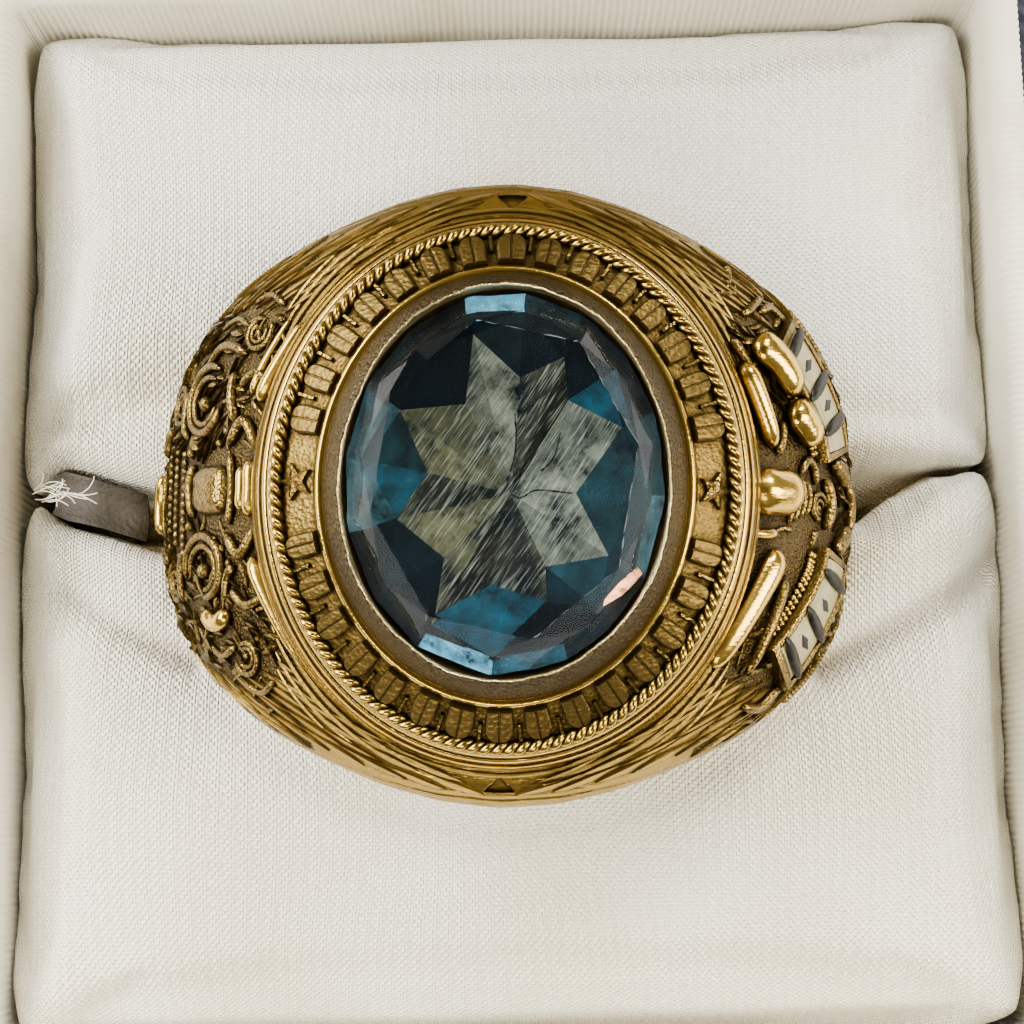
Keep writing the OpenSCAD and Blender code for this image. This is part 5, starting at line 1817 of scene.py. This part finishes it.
def shell_rows(high):
    """Up the outside of a shell, over its rounded rim and down to its floor."""
    w, d, r = case_w, case_d, corner_r
    rows = [(w - 1.2, d - 1.2, r - 0.6, 0), (w - 0.4, d - 0.4, r - 0.2, 0.1), (w, d, r, 0.5)]
    rows += [(w, d, r, z) for z in np.linspace(1.2, high - 0.7, 6)]
    for turn in np.linspace(0, math.pi / 2, 5):
        inset = 1.0 * (1 - math.cos(turn))
        rows.append((w - inset, d - inset, r - inset / 2, high - 0.5 + 0.5 * math.sin(turn)))
    for turn in np.linspace(math.pi / 2, 0, 5):
        inset = 2 * wall_t - 1.0 * (1 - math.cos(turn))
        rows.append((w - inset, d - inset, r - inset / 2, high - 0.5 + 0.5 * math.sin(turn)))
    rows += [(w - 2 * wall_t, d - 2 * wall_t, r - wall_t, z) for z in (high / 2, floor_t + 0.4)]
    rows.append((w - 2 * wall_t - 0.6, d - 2 * wall_t - 0.6, r - wall_t - 0.3, floor_t))
    return rows


# %% Leatherette and the case's cover
leatherette, tree = new_finish("navy_leatherette")
where = place_on(tree)
pebbles = add(tree, "ShaderNodeTexVoronoi", {
    "Vector": where, "Scale": 1900.0, "Smoothness": 0.4}, feature="SMOOTH_F1").outputs["Distance"]
pebble_height = calculate(tree, "MULTIPLY_ADD", noise(tree, where, 600.0, 6.0), 0.8, pebbles)
leather_color = ramp(tree, noise(tree, where, 90.0, 6.0), [
    (0.35, (0.001, 0.0016, 0.006)), (0.6, (0.0016, 0.0026, 0.009)), (0.8, (0.005, 0.007, 0.017))])
dress(tree, {"Base Color": leather_color, "Roughness": between(tree, pebbles, 0.38, 0.65),
             "Specular IOR Level": 0.18}, (pebble_height, 0.6, 0.00008), invert=True)
case_cover = make_piece("case_cover", stacked(shell_rows(16.0)), leatherette, to_metres, crisp=70)

# %% Lid and its lining
hinge_y, hinge_z = 0.02516, 0.01615
open_lid = (
    Matrix.Translation((0, hinge_y, hinge_z))
    @ Matrix.Rotation(math.radians(-100), 4, "X")
    @ Matrix.Translation((0, -hinge_y, -hinge_z))
    @ Matrix.Translation((0, 0, 0.0388))
    @ Matrix.Diagonal((0.001, 0.001, -0.001, 1))
)
lid_cover = make_piece("lid_cover", stacked(shell_rows(22.5)), leatherette, open_lid, crisp=70)

# Columns: how much narrower a row is than the widest, its corner radius and its height.
lining_w, lining_d = case_w - 4.2, case_d - 4.2
wall_rows = [
    (0, 1.5, 2.0), (0, 1.5, 2.4), (0, 1.5, 12), (0, 1.5, 21.3), (0.1, 1.4, 21.5), (0.35, 1.3, 21.5),
    (0.45, 1.3, 21.3), (0.45, 1.3, 16), (0.45, 1.3, 10), (0.45, 1.3, 5), (0.45, 1.3, 3.4),
    (1.2, 1.0, 2.9), (2.2, 1.0, 3.0),
]
lining_rows = [(lining_w - inset, lining_d - inset, r, z) for inset, r, z in wall_rows]
for share in np.linspace(0.9, 0.06, 14):
    lining_rows.append((share * lining_w, share * lining_d, 1.0 * share, 3.0 + 0.9 * (1 - share ** 3)))
lining_shape = stacked(lining_rows, 7)
lid_lining = make_piece("lid_lining", lining_shape, satin, open_lid, crisp=70)
plan, from_top = lining_shape[0][:, :2], lining_shape[0][:, 2:]
on_wall = np.abs(plan) > 0.45 * np.array([lining_w, lining_d])
flat = plan + np.sign(plan) * from_top * on_wall
store(lid_lining.data, "cloth", "FLOAT_VECTOR", "POINT",
      np.concatenate([flat, 0 * flat[:, :1]], 1).ravel())

# %% Brass of the hinge
hinge_brass, tree = new_finish("hinge_brass")
where = place_on(tree)
lines = noise(tree, stretch(tree, where, (300.0, 9000.0, 9000.0)), 1.0, 4.0)
brass = ramp(tree, noise(tree, where, 500.0, 4.0), [(0.35, (0.6, 0.46, 0.2)), (0.7, (0.33, 0.24, 0.1))])
dress(tree, {"Base Color": brass, "Roughness": between(tree, lines, 0.2, 0.5), "Metallic": 1.0},
      (lines, 0.3, 0.00003))
for node_name in ("case_hinge", "lid_hinge", "hinge_pin"):
    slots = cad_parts[node_name].data.materials
    slots.clear()
    slots.append(hinge_brass)

# %% Pale floor
floor_finish, tree = new_finish("pale_floor")
mottle = ramp(tree, noise(tree, place_on(tree), 40.0, 3.0), [
    (0.3, (0.68, 0.67, 0.65)), (0.7, (0.72, 0.71, 0.69))])
dress(tree, {"Base Color": mottle, "Roughness": 0.6})
floor_corners = 0.6 * np.array([(-1, -1, 0), (1, -1, 0), (1, 1, 0), (-1, 1, 0)])
floor = make_piece(
    "floor", (floor_corners, [[0, 1, 2, 3]]), floor_finish, Matrix.Identity(4), outward=False)

# %% [markdown]
# ## What moves with what
#
# Everything rides on the box except the lid's cover and lining, which swing with
# the lid. Each piece names the imported node that it stands for and its finish.

# %% Ride and replace
parts = [
    (hoop, "box", "ring_body", "gold"), (head_border, "box", "ring_body", "gold"),
    (rope, "box", "ring_body", "gold"), (band_leaves, "box", "ring_body", "gold"),
    (band_darts, "box", "ring_body", "gold"), (band_stars, "box", "ring_body", "gold"),
    (leaf_sprays, "box", "ring_body", "gold"), (left_shoulder, "box", "ring_body", "gold"),
    (right_shoulder, "box", "ring_body", "gold"), (ribbon_bars, "box", "ring_body", "gold"),
    (upper_enamel, "box", "upper_enamel", "enamel"), (lower_enamel, "box", "lower_enamel", "enamel"),
    (stone_crown, "box", "stone", "stone"), (stone_pavilion, "box", "stone", "stone"),
    (back_cushion, "box", "back_cushion", "cushion"),
    (front_cushion, "box", "front_cushion", "cushion"),
    (slot_lining, "box", "back_cushion", "cushion"), (torn_threads, "box", "back_cushion", "cushion"),
    (collar_cover, "box", "collar", "collar"), (case_cover, "box", "case_tray", "case"),
    (lid_cover, "lid", "lid_shell", "case"), (lid_lining, "lid", "lid_shell", "cushion"),
]
for piece, body, node_name, slot in parts:
    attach(piece, body)
    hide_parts(node_name)
